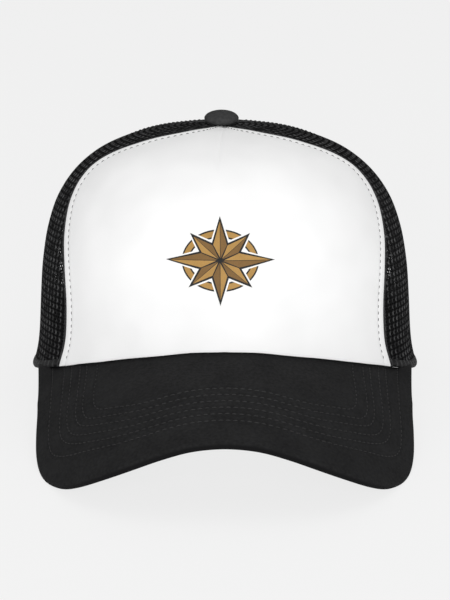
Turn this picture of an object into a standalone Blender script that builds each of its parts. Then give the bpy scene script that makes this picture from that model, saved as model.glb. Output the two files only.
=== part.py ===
"""An adult trucker cap: foam front, mesh sides and back, curved bill, covered button, snap strap.

The cap is worked out as it is worn: the rim's rear and sides lie in the plane z = 0, the front
looks along -Y and azimuths count from there, positive towards +X. An empty then tips the whole cap
so that it stands on the bill's corners and the rear of the rim, as it does on a table.
"""
import math

import bpy
import numpy as np

MM = 0.001

# Crown
RIM_HALF_WIDTH = 85.5 * MM
RIM_FRONT = 105.0 * MM
RIM_BACK = 103.0 * MM
CROWN_HEIGHT = 112.8 * MM
FRONT_RISE = 21.4 * MM
TOP_FORWARD = 16.0 * MM
TOP_LEAN = 1.6 * MM
HEM_FLARE = 3.6 * MM
HEM_FLARE_HEIGHT = 9.0 * MM
TOP_HOLE_RADIUS = 4.5 * MM
PANEL_ROWS = 15

# Walls
FOAM_WALL = 2.4 * MM
MESH_WALL = 1.2 * MM
GAP = 0.3 * MM

# Seams between the mesh panels, and the tilt of the cloth under the button
SIDE_SEAM_AZIMUTH = math.radians(118.0)
SEAT_TILT = math.radians(11.0)
SEAT_REACH = 14.0 * MM

# Half-moon opening and the tape that binds it
ARCH_HALF_WIDTH = 46.0 * MM
ARCH_HEIGHT = 56.0 * MM
BINDING_WALL = 0.7 * MM
BINDING_DEPTH = 9.0 * MM
ARCH_STEPS = 12

# Sweatband and snap strap
SWEATBAND_HEIGHT = 32.0 * MM
SWEATBAND_WALL = 1.5 * MM
STRAP_HEIGHT = 17.0 * MM
STRAP_WALL = 1.4 * MM
STRAP_LAP_WALL = 1.2 * MM
STRAP_LIFT = 4.0 * MM
STRAP_LAP_HALF = 30.0 * MM
STRAP_TUCK = 13.0 * MM

# Bill
BILL_LENGTH = 70.5 * MM
BILL_HALF_SPAN = 97.0 * MM
BILL_WALL = 3.8 * MM
BILL_SLOPE = math.radians(23.5)
BILL_REAR_DROP = 8.5 * MM
BILL_REAR_BEND = 108.0 * MM
BILL_FRONT_BEND = 81.0 * MM
BILL_AZIMUTH = math.radians(73.0)
BILL_TUCK = 1.2 * MM
BILL_EDGE_ROUND = 1.6 * MM

# Button
BUTTON_RADIUS = 7.8 * MM
BUTTON_HEIGHT = 5.2 * MM

# How far the soft rim gives where the cap stands on it
REST_SINK = 1.0 * MM


def table(columns, rows):
    """A short table as a dictionary with one array for each named column."""
    return dict(zip(columns.split(), np.array(rows, dtype=float).T))


# Level sections of the crown from the rim to the top. Height is a share of CROWN_HEIGHT, side of
# RIM_HALF_WIDTH, front and back of RIM_FRONT and RIM_BACK, and centre of TOP_FORWARD.
CROWN = table("height side front back centre", [
    (0.000, 0.994, 1.000, 1.000, 0.00),
    (0.150, 0.997, 1.003, 1.000, 0.00),
    (0.300, 0.992, 1.000, 0.992, 0.00),
    (0.450, 0.977, 0.980, 0.971, 0.02),
    (0.580, 0.946, 0.938, 0.934, 0.06),
    (0.700, 0.889, 0.865, 0.877, 0.14),
    (0.800, 0.799, 0.757, 0.805, 0.26),
    (0.880, 0.677, 0.622, 0.705, 0.42),
    (0.940, 0.515, 0.446, 0.561, 0.62),
    (0.978, 0.343, 0.267, 0.390, 0.82),
    (0.995, 0.184, 0.127, 0.200, 0.95),
    (1.000, 0.000, 0.000, 0.000, 1.00),
])

# The rim's rise above its rear plane, as a share of FRONT_RISE.
RIM = table("azimuth rise", [
    (0, 1.00),
    (10, 0.97),
    (20, 0.87),
    (30, 0.76),
    (40, 0.62),
    (50, 0.475),
    (58, 0.345),
    (66, 0.215),
    (74, 0.105),
    (84, 0.03),
    (96, 0.00),
    (180, 0.00),
])

# The seam between the front panel and the side mesh, by height share.
FRONT_SEAM = table("height azimuth", [
    (0.00, 60.0),
    (0.08, 58.2),
    (0.16, 56.5),
    (0.26, 56.2),
    (0.34, 56.8),
    (0.46, 59.1),
    (0.58, 62.4),
    (0.66, 64.6),
    (0.73, 66.8),
    (0.80, 68.4),
    (0.85, 68.2),
    (0.89, 64.9),
    (0.93, 57.9),
    (0.96, 48.4),
    (0.98, 35.5),
    (1.00, 23.5),
])

# The bill's outline in the flat, from the middle of the front edge round to the rear end: across
# is a share of BILL_HALF_SPAN, forward of BILL_LENGTH.
BILL_OUTLINE = table("across forward", [
    (0.000, 0.997),
    (0.150, 1.003),
    (0.300, 1.018),
    (0.400, 1.014),
    (0.500, 0.988),
    (0.620, 0.926),
    (0.730, 0.842),
    (0.830, 0.732),
    (0.910, 0.600),
    (0.965, 0.480),
    (0.998, 0.350),
    (1.010, 0.210),
    (1.002, 0.030),
    (0.987, -0.150),
    (0.983, -0.360),
    (0.990, -0.580),
    (1.003, -0.810),
])


def spline(knots, values, at):
    """Catmull-Rom curve through the values at the knots, read at any places."""
    at = np.clip(np.asarray(at, dtype=float), knots[0], knots[-1])
    slopes = np.gradient(values, knots)
    left = np.clip(np.searchsorted(knots, at, side="right") - 1, 0, len(knots) - 2)
    width = knots[left + 1] - knots[left]
    share = (at - knots[left]) / width
    rise = share * share * (3.0 - 2.0 * share)
    leave = share * (1.0 - share) ** 2 * width
    arrive = share * share * (share - 1.0) * width
    level = values[left] + (values[left + 1] - values[left]) * rise
    return level + slopes[left] * leave + slopes[left + 1] * arrive


def running_length(*columns):
    """Share of the way along a chain of points, by straight steps."""
    steps = np.sqrt(sum(np.diff(column) ** 2 for column in columns))
    length = np.concatenate([[0.0], np.cumsum(steps)])
    return length / length[-1]


def ease(start, end, value):
    """A smooth step from 0 at start to 1 at end."""
    share = np.clip((value - start) / (end - start), 0.0, 1.0)
    return share * share * (3.0 - 2.0 * share)


CROWN_CLIMB = running_length(CROWN["height"] * CROWN_HEIGHT, CROWN["side"] * RIM_HALF_WIDTH)


def crown_column(name, climb):
    """One column of the crown's table at a share of the way up the side."""
    return spline(CROWN_CLIMB, CROWN[name], climb)


def turn_from_front(azimuth):
    """Angle between an azimuth and the front, either way round."""
    return np.abs(np.remainder(np.asarray(azimuth) + math.pi, 2.0 * math.pi) - math.pi)


def rim_height(azimuth):
    """Height of the rim's edge at an azimuth."""
    return FRONT_RISE * spline(RIM["azimuth"], RIM["rise"], np.degrees(turn_from_front(azimuth)))


def climb_at(height):
    """Share of the way up the side at which the crown reaches a height."""
    fine = np.linspace(0.0, 1.0, 801)
    return np.interp(height, CROWN_HEIGHT * crown_column("height", fine), fine)


def hem_flare(azimuth, height):
    """How far the mesh hem turns outward near the rim, away from the front and the tails."""
    turn = turn_from_front(azimuth)
    around = ease(math.radians(25), math.radians(85), turn)
    around = around * (1.0 - ease(math.radians(105), math.radians(140), turn))
    above = np.clip(height - rim_height(azimuth), 0.0, None)
    return HEM_FLARE * around * np.exp(-(above / HEM_FLARE_HEIGHT) ** 1.3)


def crown_surface(azimuth, climb):
    """Outer surface of the crown: half ellipses, front and back, at each height."""
    azimuth, climb = np.broadcast_arrays(azimuth, climb)
    level = crown_column("height", climb)
    height = CROWN_HEIGHT * level
    flare = hem_flare(azimuth, height)
    front = RIM_FRONT * crown_column("front", climb) + flare
    back = RIM_BACK * crown_column("back", climb) + flare
    side = RIM_HALF_WIDTH * crown_column("side", climb) + flare
    ahead = np.cos(azimuth)
    reach = np.where(ahead > 0.0, front, back) * ahead
    across = side * np.sin(azimuth)
    seat = np.exp(-(across ** 2 + reach ** 2) / SEAT_REACH ** 2)
    x = across - TOP_LEAN * level ** 3
    y = -TOP_FORWARD * crown_column("centre", climb) - reach
    z = height - math.tan(SEAT_TILT) * reach * seat
    return np.stack([x, y, z], axis=-1)


def unit(vectors):
    """Vectors scaled to length one."""
    return vectors / np.linalg.norm(vectors, axis=-1, keepdims=True)


def crown_normal(azimuth, climb):
    """Outward normal of the crown, from small steps along the surface."""
    step = 1e-4
    around = crown_surface(azimuth + step, climb) - crown_surface(azimuth - step, climb)
    up = np.minimum(climb + step, 1.0)
    down = np.maximum(climb - step, 0.0)
    along = crown_surface(azimuth, up) - crown_surface(azimuth, down)
    return unit(np.cross(around, along))


def crown_layer(azimuth, climb, depth):
    """The crown's surface moved inward by a depth."""
    return crown_surface(azimuth, climb) - crown_normal(azimuth, climb) * np.asarray(depth)[..., None]


def across_at(offset, height):
    """Azimuth at the rear of the crown of a point at a sideways offset and a height."""
    climb = climb_at(height)
    side = RIM_HALF_WIDTH * crown_column("side", climb)
    return math.pi - np.arcsin(np.clip(offset / side, -1.0, 1.0))


def front_seam_azimuth(climb):
    """Azimuth of the front panel's seam at a share of the way up."""
    return np.radians(spline(FRONT_SEAM["height"], FRONT_SEAM["azimuth"], crown_column("height", climb)))


def seam_margin(climb):
    """Half the gap between two panels, as an angle about the crown's middle."""
    radius = RIM_HALF_WIDTH * crown_column("side", climb)
    return 0.5 * GAP / np.maximum(radius, TOP_HOLE_RADIUS)


def top_climb():
    """Share of the way up at which the panels stop, under the button."""
    fine = np.linspace(0.9, 1.0, 801)
    radius = RIM_HALF_WIDTH * crown_column("side", fine)
    return float(np.interp(-TOP_HOLE_RADIUS, -radius, fine))


def grid_faces(rows, columns, start, flipped):
    """Quads of a grid of points whose numbers begin at start."""
    faces = []
    for row in range(rows - 1):
        for column in range(columns - 1):
            a = start + row * columns + column
            quad = (a, a + 1, a + columns + 1, a + columns)
            faces.append(quad[::-1] if flipped else quad)
    return faces


def border(rows, columns):
    """Numbers of a grid's border points, once round."""
    lower = list(range(columns))
    right = [row * columns + columns - 1 for row in range(1, rows)]
    upper = [(rows - 1) * columns + column for column in range(columns - 2, -1, -1)]
    left = [row * columns for row in range(rows - 2, 0, -1)]
    return lower + right + upper + left


def shell(outer, inner):
    """Closed wall between two grids of points with the same rows and columns."""
    rows, columns = outer.shape[:2]
    count = rows * columns
    faces = grid_faces(rows, columns, 0, False) + grid_faces(rows, columns, count, True)
    edge = border(rows, columns)
    for a, b in zip(edge, edge[1:] + edge[:1]):
        faces.append((b, a, a + count, b + count))
    return np.concatenate([outer.reshape(-1, 3), inner.reshape(-1, 3)]), faces


def tube(loops):
    """Closed solid from loops of points, one after another, with flat ends."""
    count, size = loops.shape[:2]
    faces = []
    for ring in range(count - 1):
        for point in range(size):
            a = ring * size + point
            b = ring * size + (point + 1) % size
            faces.append((a, b, b + size, a + size))
    faces.append(tuple(range(size))[::-1])
    faces.append(tuple((count - 1) * size + point for point in range(size)))
    return loops.reshape(-1, 3), faces


def panel_solid(azimuth, climb, wall):
    """Closed wall of a panel from its grid of azimuths and climbs."""
    return shell(crown_layer(azimuth, climb, 0.0), crown_layer(azimuth, climb, wall))


def rise_shares():
    """Shares of a panel's way up at which its rows lie, closer together in the flared hem."""
    return np.concatenate([[0.0, 0.018, 0.040], np.linspace(0.065, 1.0, PANEL_ROWS)])[:, None]


def front_panel(columns=27):
    """The one-piece foam front, from seam to seam."""
    share = np.linspace(-1.0, 1.0, columns)[None, :]
    rise = rise_shares()
    azimuth = np.radians(58.0) * share + 0.0 * rise
    for _ in range(3):
        lower = climb_at(rim_height(azimuth[:1]))
        climb = lower + (top_climb() - lower) * rise
        azimuth = (front_seam_azimuth(climb) - seam_margin(climb)) * share
    return panel_solid(azimuth, climb, FOAM_WALL)


def side_panel(columns=13):
    """The mesh panel between the front seam and the side seam, on the +X side."""
    share = np.linspace(0.0, 1.0, columns)[None, :]
    rise = rise_shares()
    azimuth = np.radians(58.0) + 0.0 * (rise + share)
    for _ in range(3):
        lower = climb_at(rim_height(azimuth[:1]))
        climb = lower + (top_climb() - lower) * rise
        margin = seam_margin(climb)
        near = front_seam_azimuth(climb) + margin
        azimuth = near + (SIDE_SEAM_AZIMUTH - margin - near) * share
    return panel_solid(azimuth, climb, MESH_WALL)


def arch_points(angle, outset=0.0):
    """Azimuth and climb of the half-moon's edge at an angle from its foot, moved outward."""
    offset = (ARCH_HALF_WIDTH + outset) * np.cos(angle)
    height = (ARCH_HEIGHT + outset) * np.sin(angle)
    return across_at(offset, height), climb_at(height)


def back_panel(rim_columns=7):
    """The mesh panel between the side seam and the centre back, on the +X side."""
    foot = float(across_at(ARCH_HALF_WIDTH, 0.0))
    spacing = np.sin(np.linspace(0.0, 0.5 * math.pi, rim_columns))
    along_rim = SIDE_SEAM_AZIMUTH + (foot - SIDE_SEAM_AZIMUTH) * spacing
    angles = np.linspace(0.0, 0.5 * math.pi, ARCH_STEPS + 1)[1:]
    arch_azimuth, arch_climb = arch_points(angles)
    lower_azimuth = np.concatenate([along_rim, arch_azimuth])
    lower_climb = np.concatenate([climb_at(rim_height(along_rim)), arch_climb])
    spread = np.linspace(0.0, 1.0, len(lower_azimuth))
    rise = rise_shares()
    upper_azimuth = SIDE_SEAM_AZIMUTH + (math.pi - SIDE_SEAM_AZIMUTH) * spread
    climb = lower_climb + (top_climb() - lower_climb) * rise
    azimuth = lower_azimuth + (upper_azimuth - lower_azimuth) * rise
    margin = seam_margin(climb)
    azimuth = azimuth + margin * (1.0 - 2.0 * spread)
    return panel_solid(azimuth, climb, MESH_WALL)


def arch_binding():
    """Tape folded round the half-moon's edge: a U that leaves the mesh free inside it."""
    outside = GAP + BINDING_WALL
    inside = MESH_WALL + GAP
    middle = 0.5 * BINDING_DEPTH
    loop = table("outset depth", [
        (-outside, -outside),
        (middle, -outside),
        (BINDING_DEPTH, -outside),
        (BINDING_DEPTH, -GAP),
        (middle, -GAP),
        (-GAP, -GAP),
        (-GAP, inside),
        (middle, inside),
        (BINDING_DEPTH, inside),
        (BINDING_DEPTH, inside + BINDING_WALL),
        (middle, inside + BINDING_WALL),
        (-outside, inside + BINDING_WALL),
    ])
    angles = np.linspace(0.0, math.pi, 2 * ARCH_STEPS + 1)[:, None]
    azimuth, climb = arch_points(angles, loop["outset"][None, :])
    depth = np.broadcast_to(loop["depth"][None, :], azimuth.shape)
    return tube(crown_layer(azimuth, climb, depth)[:, ::-1])


def band_depth(azimuth):
    """Depth of the sweatband's outer face: behind foam, then mesh, then binding and strap."""
    turn = turn_from_front(azimuth)
    seam = front_seam_azimuth(climb_at(0.5 * SWEATBAND_HEIGHT))
    behind_mesh = ease(seam + math.radians(2), seam + math.radians(12), turn)
    strap_end = across_at(ARCH_HALF_WIDTH + STRAP_TUCK, 0.0)
    behind_strap = ease(strap_end - math.radians(16), strap_end - math.radians(2), turn)
    wall = FOAM_WALL + (MESH_WALL - FOAM_WALL) * behind_mesh
    return wall + GAP + (strap_depth() + STRAP_WALL - MESH_WALL) * behind_strap


def strap_depth():
    """Depth of the strap's outer face, just inside the binding."""
    return MESH_WALL + 2.0 * GAP + BINDING_WALL


def sweatband(columns=57, rows=5):
    """The band inside the rim, open at the half-moon."""
    end = float(across_at(ARCH_HALF_WIDTH + GAP, 0.0))
    azimuth = np.linspace(-end, end, columns)[None, :]
    rise = np.linspace(0.0, 1.0, rows)[:, None] ** 1.5
    lower = rim_height(azimuth) + GAP
    climb = climb_at(lower + SWEATBAND_HEIGHT * rise)
    azimuth = azimuth + 0.0 * rise
    depth = band_depth(azimuth)
    return shell(crown_layer(azimuth, climb, depth), crown_layer(azimuth, climb, depth + SWEATBAND_WALL))


def snap_strap(columns=41):
    """The plastic closure across the half-moon, thicker where its two ends lap."""
    end = float(across_at(ARCH_HALF_WIDTH + STRAP_TUCK, 0.0))
    azimuth = np.linspace(end, 2.0 * math.pi - end, columns)[None, :]
    rise = np.linspace(0.0, 1.0, 3)[:, None]
    climb = climb_at(STRAP_LIFT + STRAP_HEIGHT * rise) + 0.0 * azimuth
    azimuth = azimuth + 0.0 * rise
    offset = np.abs(RIM_HALF_WIDTH * np.sin(azimuth))
    lap = 1.0 - ease(STRAP_LAP_HALF, STRAP_LAP_HALF + 2.0 * STRAP_WALL, offset)
    outer = strap_depth() - STRAP_LAP_WALL * lap
    return shell(crown_layer(azimuth, climb, outer),
                 crown_layer(azimuth, climb, strap_depth() + STRAP_WALL))


def bill_bend(forward):
    """Bend radius of the bill, tighter towards its front edge."""
    share = np.clip((forward + 0.28 * BILL_LENGTH) / (1.28 * BILL_LENGTH), 0.0, 1.0)
    return BILL_REAR_BEND + (BILL_FRONT_BEND - BILL_REAR_BEND) * share


def bill_sheet(across, forward):
    """The bill's top face: a bent sheet that slopes down ahead of the rim and eases behind it."""
    bend = bill_bend(forward)
    x = bend * np.sin(across / bend)
    drop = bend * (1.0 - np.cos(across / bend))
    y = -RIM_FRONT - forward * math.cos(BILL_SLOPE) + drop * math.sin(BILL_SLOPE)
    behind = np.clip(-forward / BILL_LENGTH, 0.0, None)
    z = FRONT_RISE - forward * math.sin(BILL_SLOPE) - drop * math.cos(BILL_SLOPE)
    z = z - BILL_REAR_DROP * behind ** 2
    return np.stack(np.broadcast_arrays(x, y, z), axis=-1)


def flat_place(x, y):
    """Across and forward on the flat bill of a point given in plan."""
    forward = np.zeros_like(x)
    for _ in range(20):
        bend = bill_bend(forward)
        across = bend * np.arcsin(np.clip(x / bend, -1.0, 1.0))
        drop = bend * (1.0 - np.cos(across / bend))
        forward = (-RIM_FRONT - y + drop * math.sin(BILL_SLOPE)) / math.cos(BILL_SLOPE)
    return across, forward


def bill_outline(share):
    """Across and forward of the bill's edge, from one rear end (-1) to the other (1)."""
    knots = running_length(BILL_OUTLINE["across"] * BILL_HALF_SPAN, BILL_OUTLINE["forward"] * BILL_LENGTH)
    across = np.sign(share) * spline(knots, BILL_OUTLINE["across"], np.abs(share)) * BILL_HALF_SPAN
    return across, spline(knots, BILL_OUTLINE["forward"], np.abs(share)) * BILL_LENGTH


def bill_top(sweep, reach, inset=0.0):
    """Top face of the bill: sweep runs from side to side, reach from the rim to the front edge."""
    azimuth = BILL_AZIMUTH * sweep
    rim = crown_layer(azimuth, climb_at(rim_height(azimuth)), BILL_TUCK)
    inner_across, inner_forward = flat_place(rim[..., 0], rim[..., 1])
    outer_across, outer_forward = bill_outline(sweep)
    length = np.hypot(outer_across - inner_across, outer_forward - inner_forward)
    reach = reach * (1.0 - inset / length)
    across = inner_across + (outer_across - inner_across) * reach
    forward = inner_forward + (outer_forward - inner_forward) * reach
    lift = rim_height(azimuth) - GAP - bill_sheet(inner_across, inner_forward)[..., 2]
    point = bill_sheet(across, forward)
    fade = (1.0 - reach) ** 2
    point[..., 2] += lift * fade
    return point


def bill_normal(sweep, reach):
    """Upward normal of the bill's top face."""
    step = 1e-3
    sweep_low = np.clip(sweep - step, -1.0, 1.0)
    sweep_high = np.clip(sweep + step, -1.0, 1.0)
    reach_low = np.clip(reach - step, 0.0, 1.0)
    reach_high = np.clip(reach + step, 0.0, 1.0)
    across = bill_top(sweep_high, reach) - bill_top(sweep_low, reach)
    forward = bill_top(sweep, reach_high) - bill_top(sweep, reach_low)
    return unit(np.cross(forward, across))


def bill(columns=57, rows=8):
    """The curved bill: a bent board with a rounded edge."""
    sweep = np.linspace(-1.0, 1.0, columns)[None, :]
    reach = np.linspace(0.0, 1.0, rows)[:, None]
    sweep, reach = np.broadcast_arrays(sweep, reach)
    normal = bill_normal(sweep, reach)
    top = bill_top(sweep, reach, BILL_EDGE_ROUND)
    wall = BILL_WALL * (1.0 - 0.5 * ease(0.8, 1.0, np.abs(sweep)))[..., None]
    under = top - normal * wall
    edge = bill_top(sweep[-1], reach[-1]) - normal[-1] * 0.5 * wall[-1]
    points = np.concatenate([top.reshape(-1, 3), under.reshape(-1, 3), edge])
    count = rows * columns
    faces = grid_faces(rows, columns, 0, True) + grid_faces(rows, columns, count, False)
    ring = border(rows, columns)
    front = {(rows - 1) * columns + column: 2 * count + column for column in range(columns)}
    for a, b in zip(ring, ring[1:] + ring[:1]):
        if a in front and b in front:
            faces.append((a, b, front[b], front[a]))
            faces.append((front[a], front[b], b + count, a + count))
        elif a in front:
            faces.append((a, b, b + count, a + count, front[a]))
        elif b in front:
            faces.append((a, b, front[b], b + count, a + count))
        else:
            faces.append((a, b, b + count, a + count))
    return points, faces


def button(columns=28, rings=6):
    """The covered button: a low dome with a rolled rim, seated on the tilted cloth."""
    climb = 1.0 - 1e-6
    seat = crown_surface(np.array(0.0), np.array(climb))
    up = np.array([0.0, -math.sin(SEAT_TILT), math.cos(SEAT_TILT)])
    ahead = np.array([0.0, -math.cos(SEAT_TILT), -math.sin(SEAT_TILT)])
    aside = np.array([1.0, 0.0, 0.0])
    outline = [(BUTTON_RADIUS * 0.80, GAP), (BUTTON_RADIUS * 0.97, GAP + 0.22 * BUTTON_HEIGHT)]
    for ring in range(rings):
        turn = 0.5 * math.pi * ring / rings
        outline.append((BUTTON_RADIUS * math.cos(turn),
                        GAP + BUTTON_HEIGHT * (0.34 + 0.66 * math.sin(turn))))
    loops = []
    for radius, height in outline:
        angle = np.linspace(0.0, 2.0 * math.pi, columns, endpoint=False)[:, None]
        loops.append(seat + up * height + radius * (aside * np.cos(angle) - ahead * np.sin(angle)))
    points = np.concatenate(loops + [(seat + up * (GAP + BUTTON_HEIGHT))[None, :]])
    faces = [tuple(range(columns))[::-1]]
    for ring in range(len(outline) - 1):
        for column in range(columns):
            a = ring * columns + column
            b = ring * columns + (column + 1) % columns
            faces.append((a, b, b + columns, a + columns))
    last = (len(outline) - 1) * columns
    for column in range(columns):
        faces.append((last + column, last + (column + 1) % columns, len(points) - 1))
    return points, faces


def mirrored(solid):
    """The solid's mirror image across the cap's middle plane, which leaves the top's lean."""
    points, faces = solid
    points = points.copy()
    level = np.clip(points[:, 2] / CROWN_HEIGHT, 0.0, 1.0)
    points[:, 0] = -points[:, 0] - 2.0 * TOP_LEAN * level ** 3
    return points, [face[::-1] for face in faces]


def tipped(points, angle):
    """Heights of points after the cap is tipped nose down by an angle."""
    return points[:, 2] * math.cos(angle) + points[:, 1] * math.sin(angle)


def rest_angle(bill_points, rear_points):
    """Tip at which the bill's corners and the rear rim are equally low."""
    low, high = -0.5, 0.5
    for _ in range(60):
        middle = 0.5 * (low + high)
        if tipped(bill_points, middle).min() < tipped(rear_points, middle).min():
            high = middle
        else:
            low = middle
    return 0.5 * (low + high)


def material(name, colour, roughness):
    """A plain finish."""
    finish = bpy.data.materials.new(name)
    finish.use_nodes = True
    shader = finish.node_tree.nodes["Principled BSDF"]
    shader.inputs["Base Color"].default_value = (*colour, 1.0)
    shader.inputs["Roughness"].default_value = roughness
    return finish


def add_object(name, solid, carrier, finish):
    """One named solid under the carrier, with the soft rim flattened at the floor."""
    points, faces = solid
    mesh = bpy.data.meshes.new(name)
    mesh.from_pydata(points.tolist(), [], faces)
    inverse = carrier.matrix_world.inverted()
    for vertex in mesh.vertices:
        world = carrier.matrix_world @ vertex.co
        if world.z < 0.0:
            world.z = 0.0
            vertex.co = inverse @ world
    mesh.shade_smooth()
    mesh.set_sharp_from_angle(angle=math.radians(40))
    mesh.materials.append(finish)
    piece = bpy.data.objects.new(name, mesh)
    bpy.context.collection.objects.link(piece)
    piece.parent = carrier
    return piece


def build():
    """The whole cap, standing on the plane z = 0."""
    for old in list(bpy.data.objects):
        bpy.data.objects.remove(old, do_unlink=True)

    side = side_panel()
    back = back_panel()
    solids = {
        "front_panel": front_panel(),
        "side_mesh_left": mirrored(side),
        "side_mesh_right": side,
        "back_mesh_left": mirrored(back),
        "back_mesh_right": back,
        "bill": bill(),
        "button": button(),
        "sweatband": sweatband(),
        "snap_strap": snap_strap(),
        "arch_binding": arch_binding(),
    }
    white_foam = material("white foam cloth", (0.90, 0.90, 0.90), 0.85)
    black_mesh = material("black mesh", (0.018, 0.018, 0.020), 0.60)
    black_twill = material("black twill", (0.022, 0.021, 0.022), 0.85)
    black_plastic = material("black plastic", (0.020, 0.020, 0.022), 0.40)
    finishes = {
        "front_panel": white_foam,
        "side_mesh_left": black_mesh,
        "side_mesh_right": black_mesh,
        "back_mesh_left": black_mesh,
        "back_mesh_right": black_mesh,
        "snap_strap": black_plastic,
    }

    tip = rest_angle(solids["bill"][0], solids["back_mesh_right"][0])
    everything = np.concatenate([points for points, _ in solids.values()])
    heights = tipped(everything, tip)
    depths = everything[:, 1] * math.cos(tip) - everything[:, 2] * math.sin(tip)
    carrier = bpy.data.objects.new("cap_rest", None)
    bpy.context.collection.objects.link(carrier)
    carrier.rotation_euler = (tip, 0.0, 0.0)
    carrier.location = (0.0, -0.5 * (depths.min() + depths.max()), -heights.min() - REST_SINK)
    bpy.context.view_layer.update()

    for name, solid in solids.items():
        add_object(name, solid, carrier, finishes.get(name, black_twill))


build()
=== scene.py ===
# %% [markdown]
# # A trucker cap, dressed
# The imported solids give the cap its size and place. This lesson rebuilds each of them as the cloth,
# net and plastic they stand for: a soft white foam front, four panels of knitted net, a quilted
# bill, a covered button, a sweatband, a taped half-moon opening and a snap strap.

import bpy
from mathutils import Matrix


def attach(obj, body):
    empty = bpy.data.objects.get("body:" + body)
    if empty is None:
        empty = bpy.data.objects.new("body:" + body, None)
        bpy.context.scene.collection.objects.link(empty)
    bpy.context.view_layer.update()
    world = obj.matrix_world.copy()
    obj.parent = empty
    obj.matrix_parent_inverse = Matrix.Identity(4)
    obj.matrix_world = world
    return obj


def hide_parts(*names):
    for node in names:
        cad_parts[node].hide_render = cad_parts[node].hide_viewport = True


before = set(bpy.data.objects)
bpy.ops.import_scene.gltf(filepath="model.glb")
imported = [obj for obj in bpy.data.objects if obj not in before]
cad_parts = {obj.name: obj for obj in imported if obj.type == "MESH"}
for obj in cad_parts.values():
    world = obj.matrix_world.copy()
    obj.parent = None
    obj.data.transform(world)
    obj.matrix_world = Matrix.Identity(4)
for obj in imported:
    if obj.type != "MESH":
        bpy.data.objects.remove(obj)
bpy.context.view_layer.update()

import math

import bpy
import numpy as np

MM = 0.001
print("solids:", sorted(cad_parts))

# %% [markdown]
# ## The crown as one surface
# A cap is easiest to describe as it is worn, with the rear of its rim level. Its crown is a stack
# of level half ellipses whose sizes come from one short table, so that every panel, stitch and
# strip can be placed by two numbers: an azimuth, counted from the front, and a climb, which is the
# share of the way up the side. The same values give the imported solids, so both agree.

# %% Sizes of the worn cap
RIM_HALF_WIDTH = 85.5 * MM
RIM_FRONT = 105.0 * MM
RIM_BACK = 103.0 * MM
CROWN_HEIGHT = 112.8 * MM
FRONT_RISE = 21.4 * MM
TOP_FORWARD = 16.0 * MM
TOP_LEAN = 1.6 * MM
HEM_FLARE = 3.6 * MM
HEM_FLARE_HEIGHT = 9.0 * MM
TOP_HOLE_RADIUS = 4.5 * MM
FOAM_WALL = 2.4 * MM
MESH_WALL = 1.2 * MM
GAP = 0.3 * MM
SIDE_SEAM_AZIMUTH = math.radians(118.0)
SEAT_TILT = math.radians(11.0)
SEAT_REACH = 14.0 * MM


def table(columns, rows):
    """A short table as a dictionary with one array for each named column."""
    return dict(zip(columns.split(), np.array(rows, dtype=float).T))


CROWN = table("height side front back centre", [
    (0.000, 0.994, 1.000, 1.000, 0.00),
    (0.150, 0.997, 1.003, 1.000, 0.00),
    (0.300, 0.992, 1.000, 0.992, 0.00),
    (0.450, 0.977, 0.980, 0.971, 0.02),
    (0.580, 0.946, 0.938, 0.934, 0.06),
    (0.700, 0.889, 0.865, 0.877, 0.14),
    (0.800, 0.799, 0.757, 0.805, 0.26),
    (0.880, 0.677, 0.622, 0.705, 0.42),
    (0.940, 0.515, 0.446, 0.561, 0.62),
    (0.978, 0.343, 0.267, 0.390, 0.82),
    (0.995, 0.184, 0.127, 0.200, 0.95),
    (1.000, 0.000, 0.000, 0.000, 1.00),
])
RIM = table("azimuth rise", [
    (0, 1.00), (10, 0.97), (20, 0.87), (30, 0.76), (40, 0.62), (50, 0.475),
    (58, 0.345), (66, 0.215), (74, 0.105), (84, 0.03), (96, 0.00), (180, 0.00),
])
FRONT_SEAM = table("height azimuth", [
    (0.00, 60.0), (0.08, 58.2), (0.16, 56.5), (0.26, 56.2), (0.34, 56.8), (0.46, 59.1),
    (0.58, 62.4), (0.66, 64.6), (0.73, 66.8), (0.80, 68.4), (0.85, 68.2), (0.89, 64.9),
    (0.93, 57.9), (0.96, 48.4), (0.98, 35.5), (1.00, 23.5),
])


# %% Curves through the tables
def spline(knots, values, at):
    """Catmull-Rom curve: cubic pieces whose slopes are the mean slopes at the knots."""
    at = np.clip(np.asarray(at, dtype=float), knots[0], knots[-1])
    slopes = np.gradient(values, knots)
    left = np.clip(np.searchsorted(knots, at, side="right") - 1, 0, len(knots) - 2)
    width = knots[left + 1] - knots[left]
    share = (at - knots[left]) / width
    rise = share * share * (3.0 - 2.0 * share)
    leave = share * (1.0 - share) ** 2 * width
    arrive = share * share * (share - 1.0) * width
    level = values[left] + (values[left + 1] - values[left]) * rise
    return level + slopes[left] * leave + slopes[left + 1] * arrive


def lengths_along(*columns):
    """Length run at each point of a chain: the sum of its straight steps so far."""
    steps = np.sqrt(sum(np.diff(column) ** 2 for column in columns))
    return np.concatenate([[0.0], np.cumsum(steps)])


def ease(start, end, value):
    """A smooth step: 0 before start, 1 after end, 3s squared less 2s cubed between."""
    share = np.clip((value - start) / (end - start), 0.0, 1.0)
    return share * share * (3.0 - 2.0 * share)


side_lengths = lengths_along(CROWN["height"] * CROWN_HEIGHT, CROWN["side"] * RIM_HALF_WIDTH)
SIDE_LENGTH = side_lengths[-1]
CROWN_CLIMB = side_lengths / SIDE_LENGTH
print("length of the side from rim to top, mm:", round(SIDE_LENGTH / MM, 1))


# %% The crown's surface
def crown_column(name, climb):
    """One column of the crown's table, read at a climb."""
    return spline(CROWN_CLIMB, CROWN[name], climb)


def turn_from_front(azimuth):
    """Angle between an azimuth and the front, either way round."""
    return np.abs(np.remainder(np.asarray(azimuth) + math.pi, 2.0 * math.pi) - math.pi)


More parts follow.
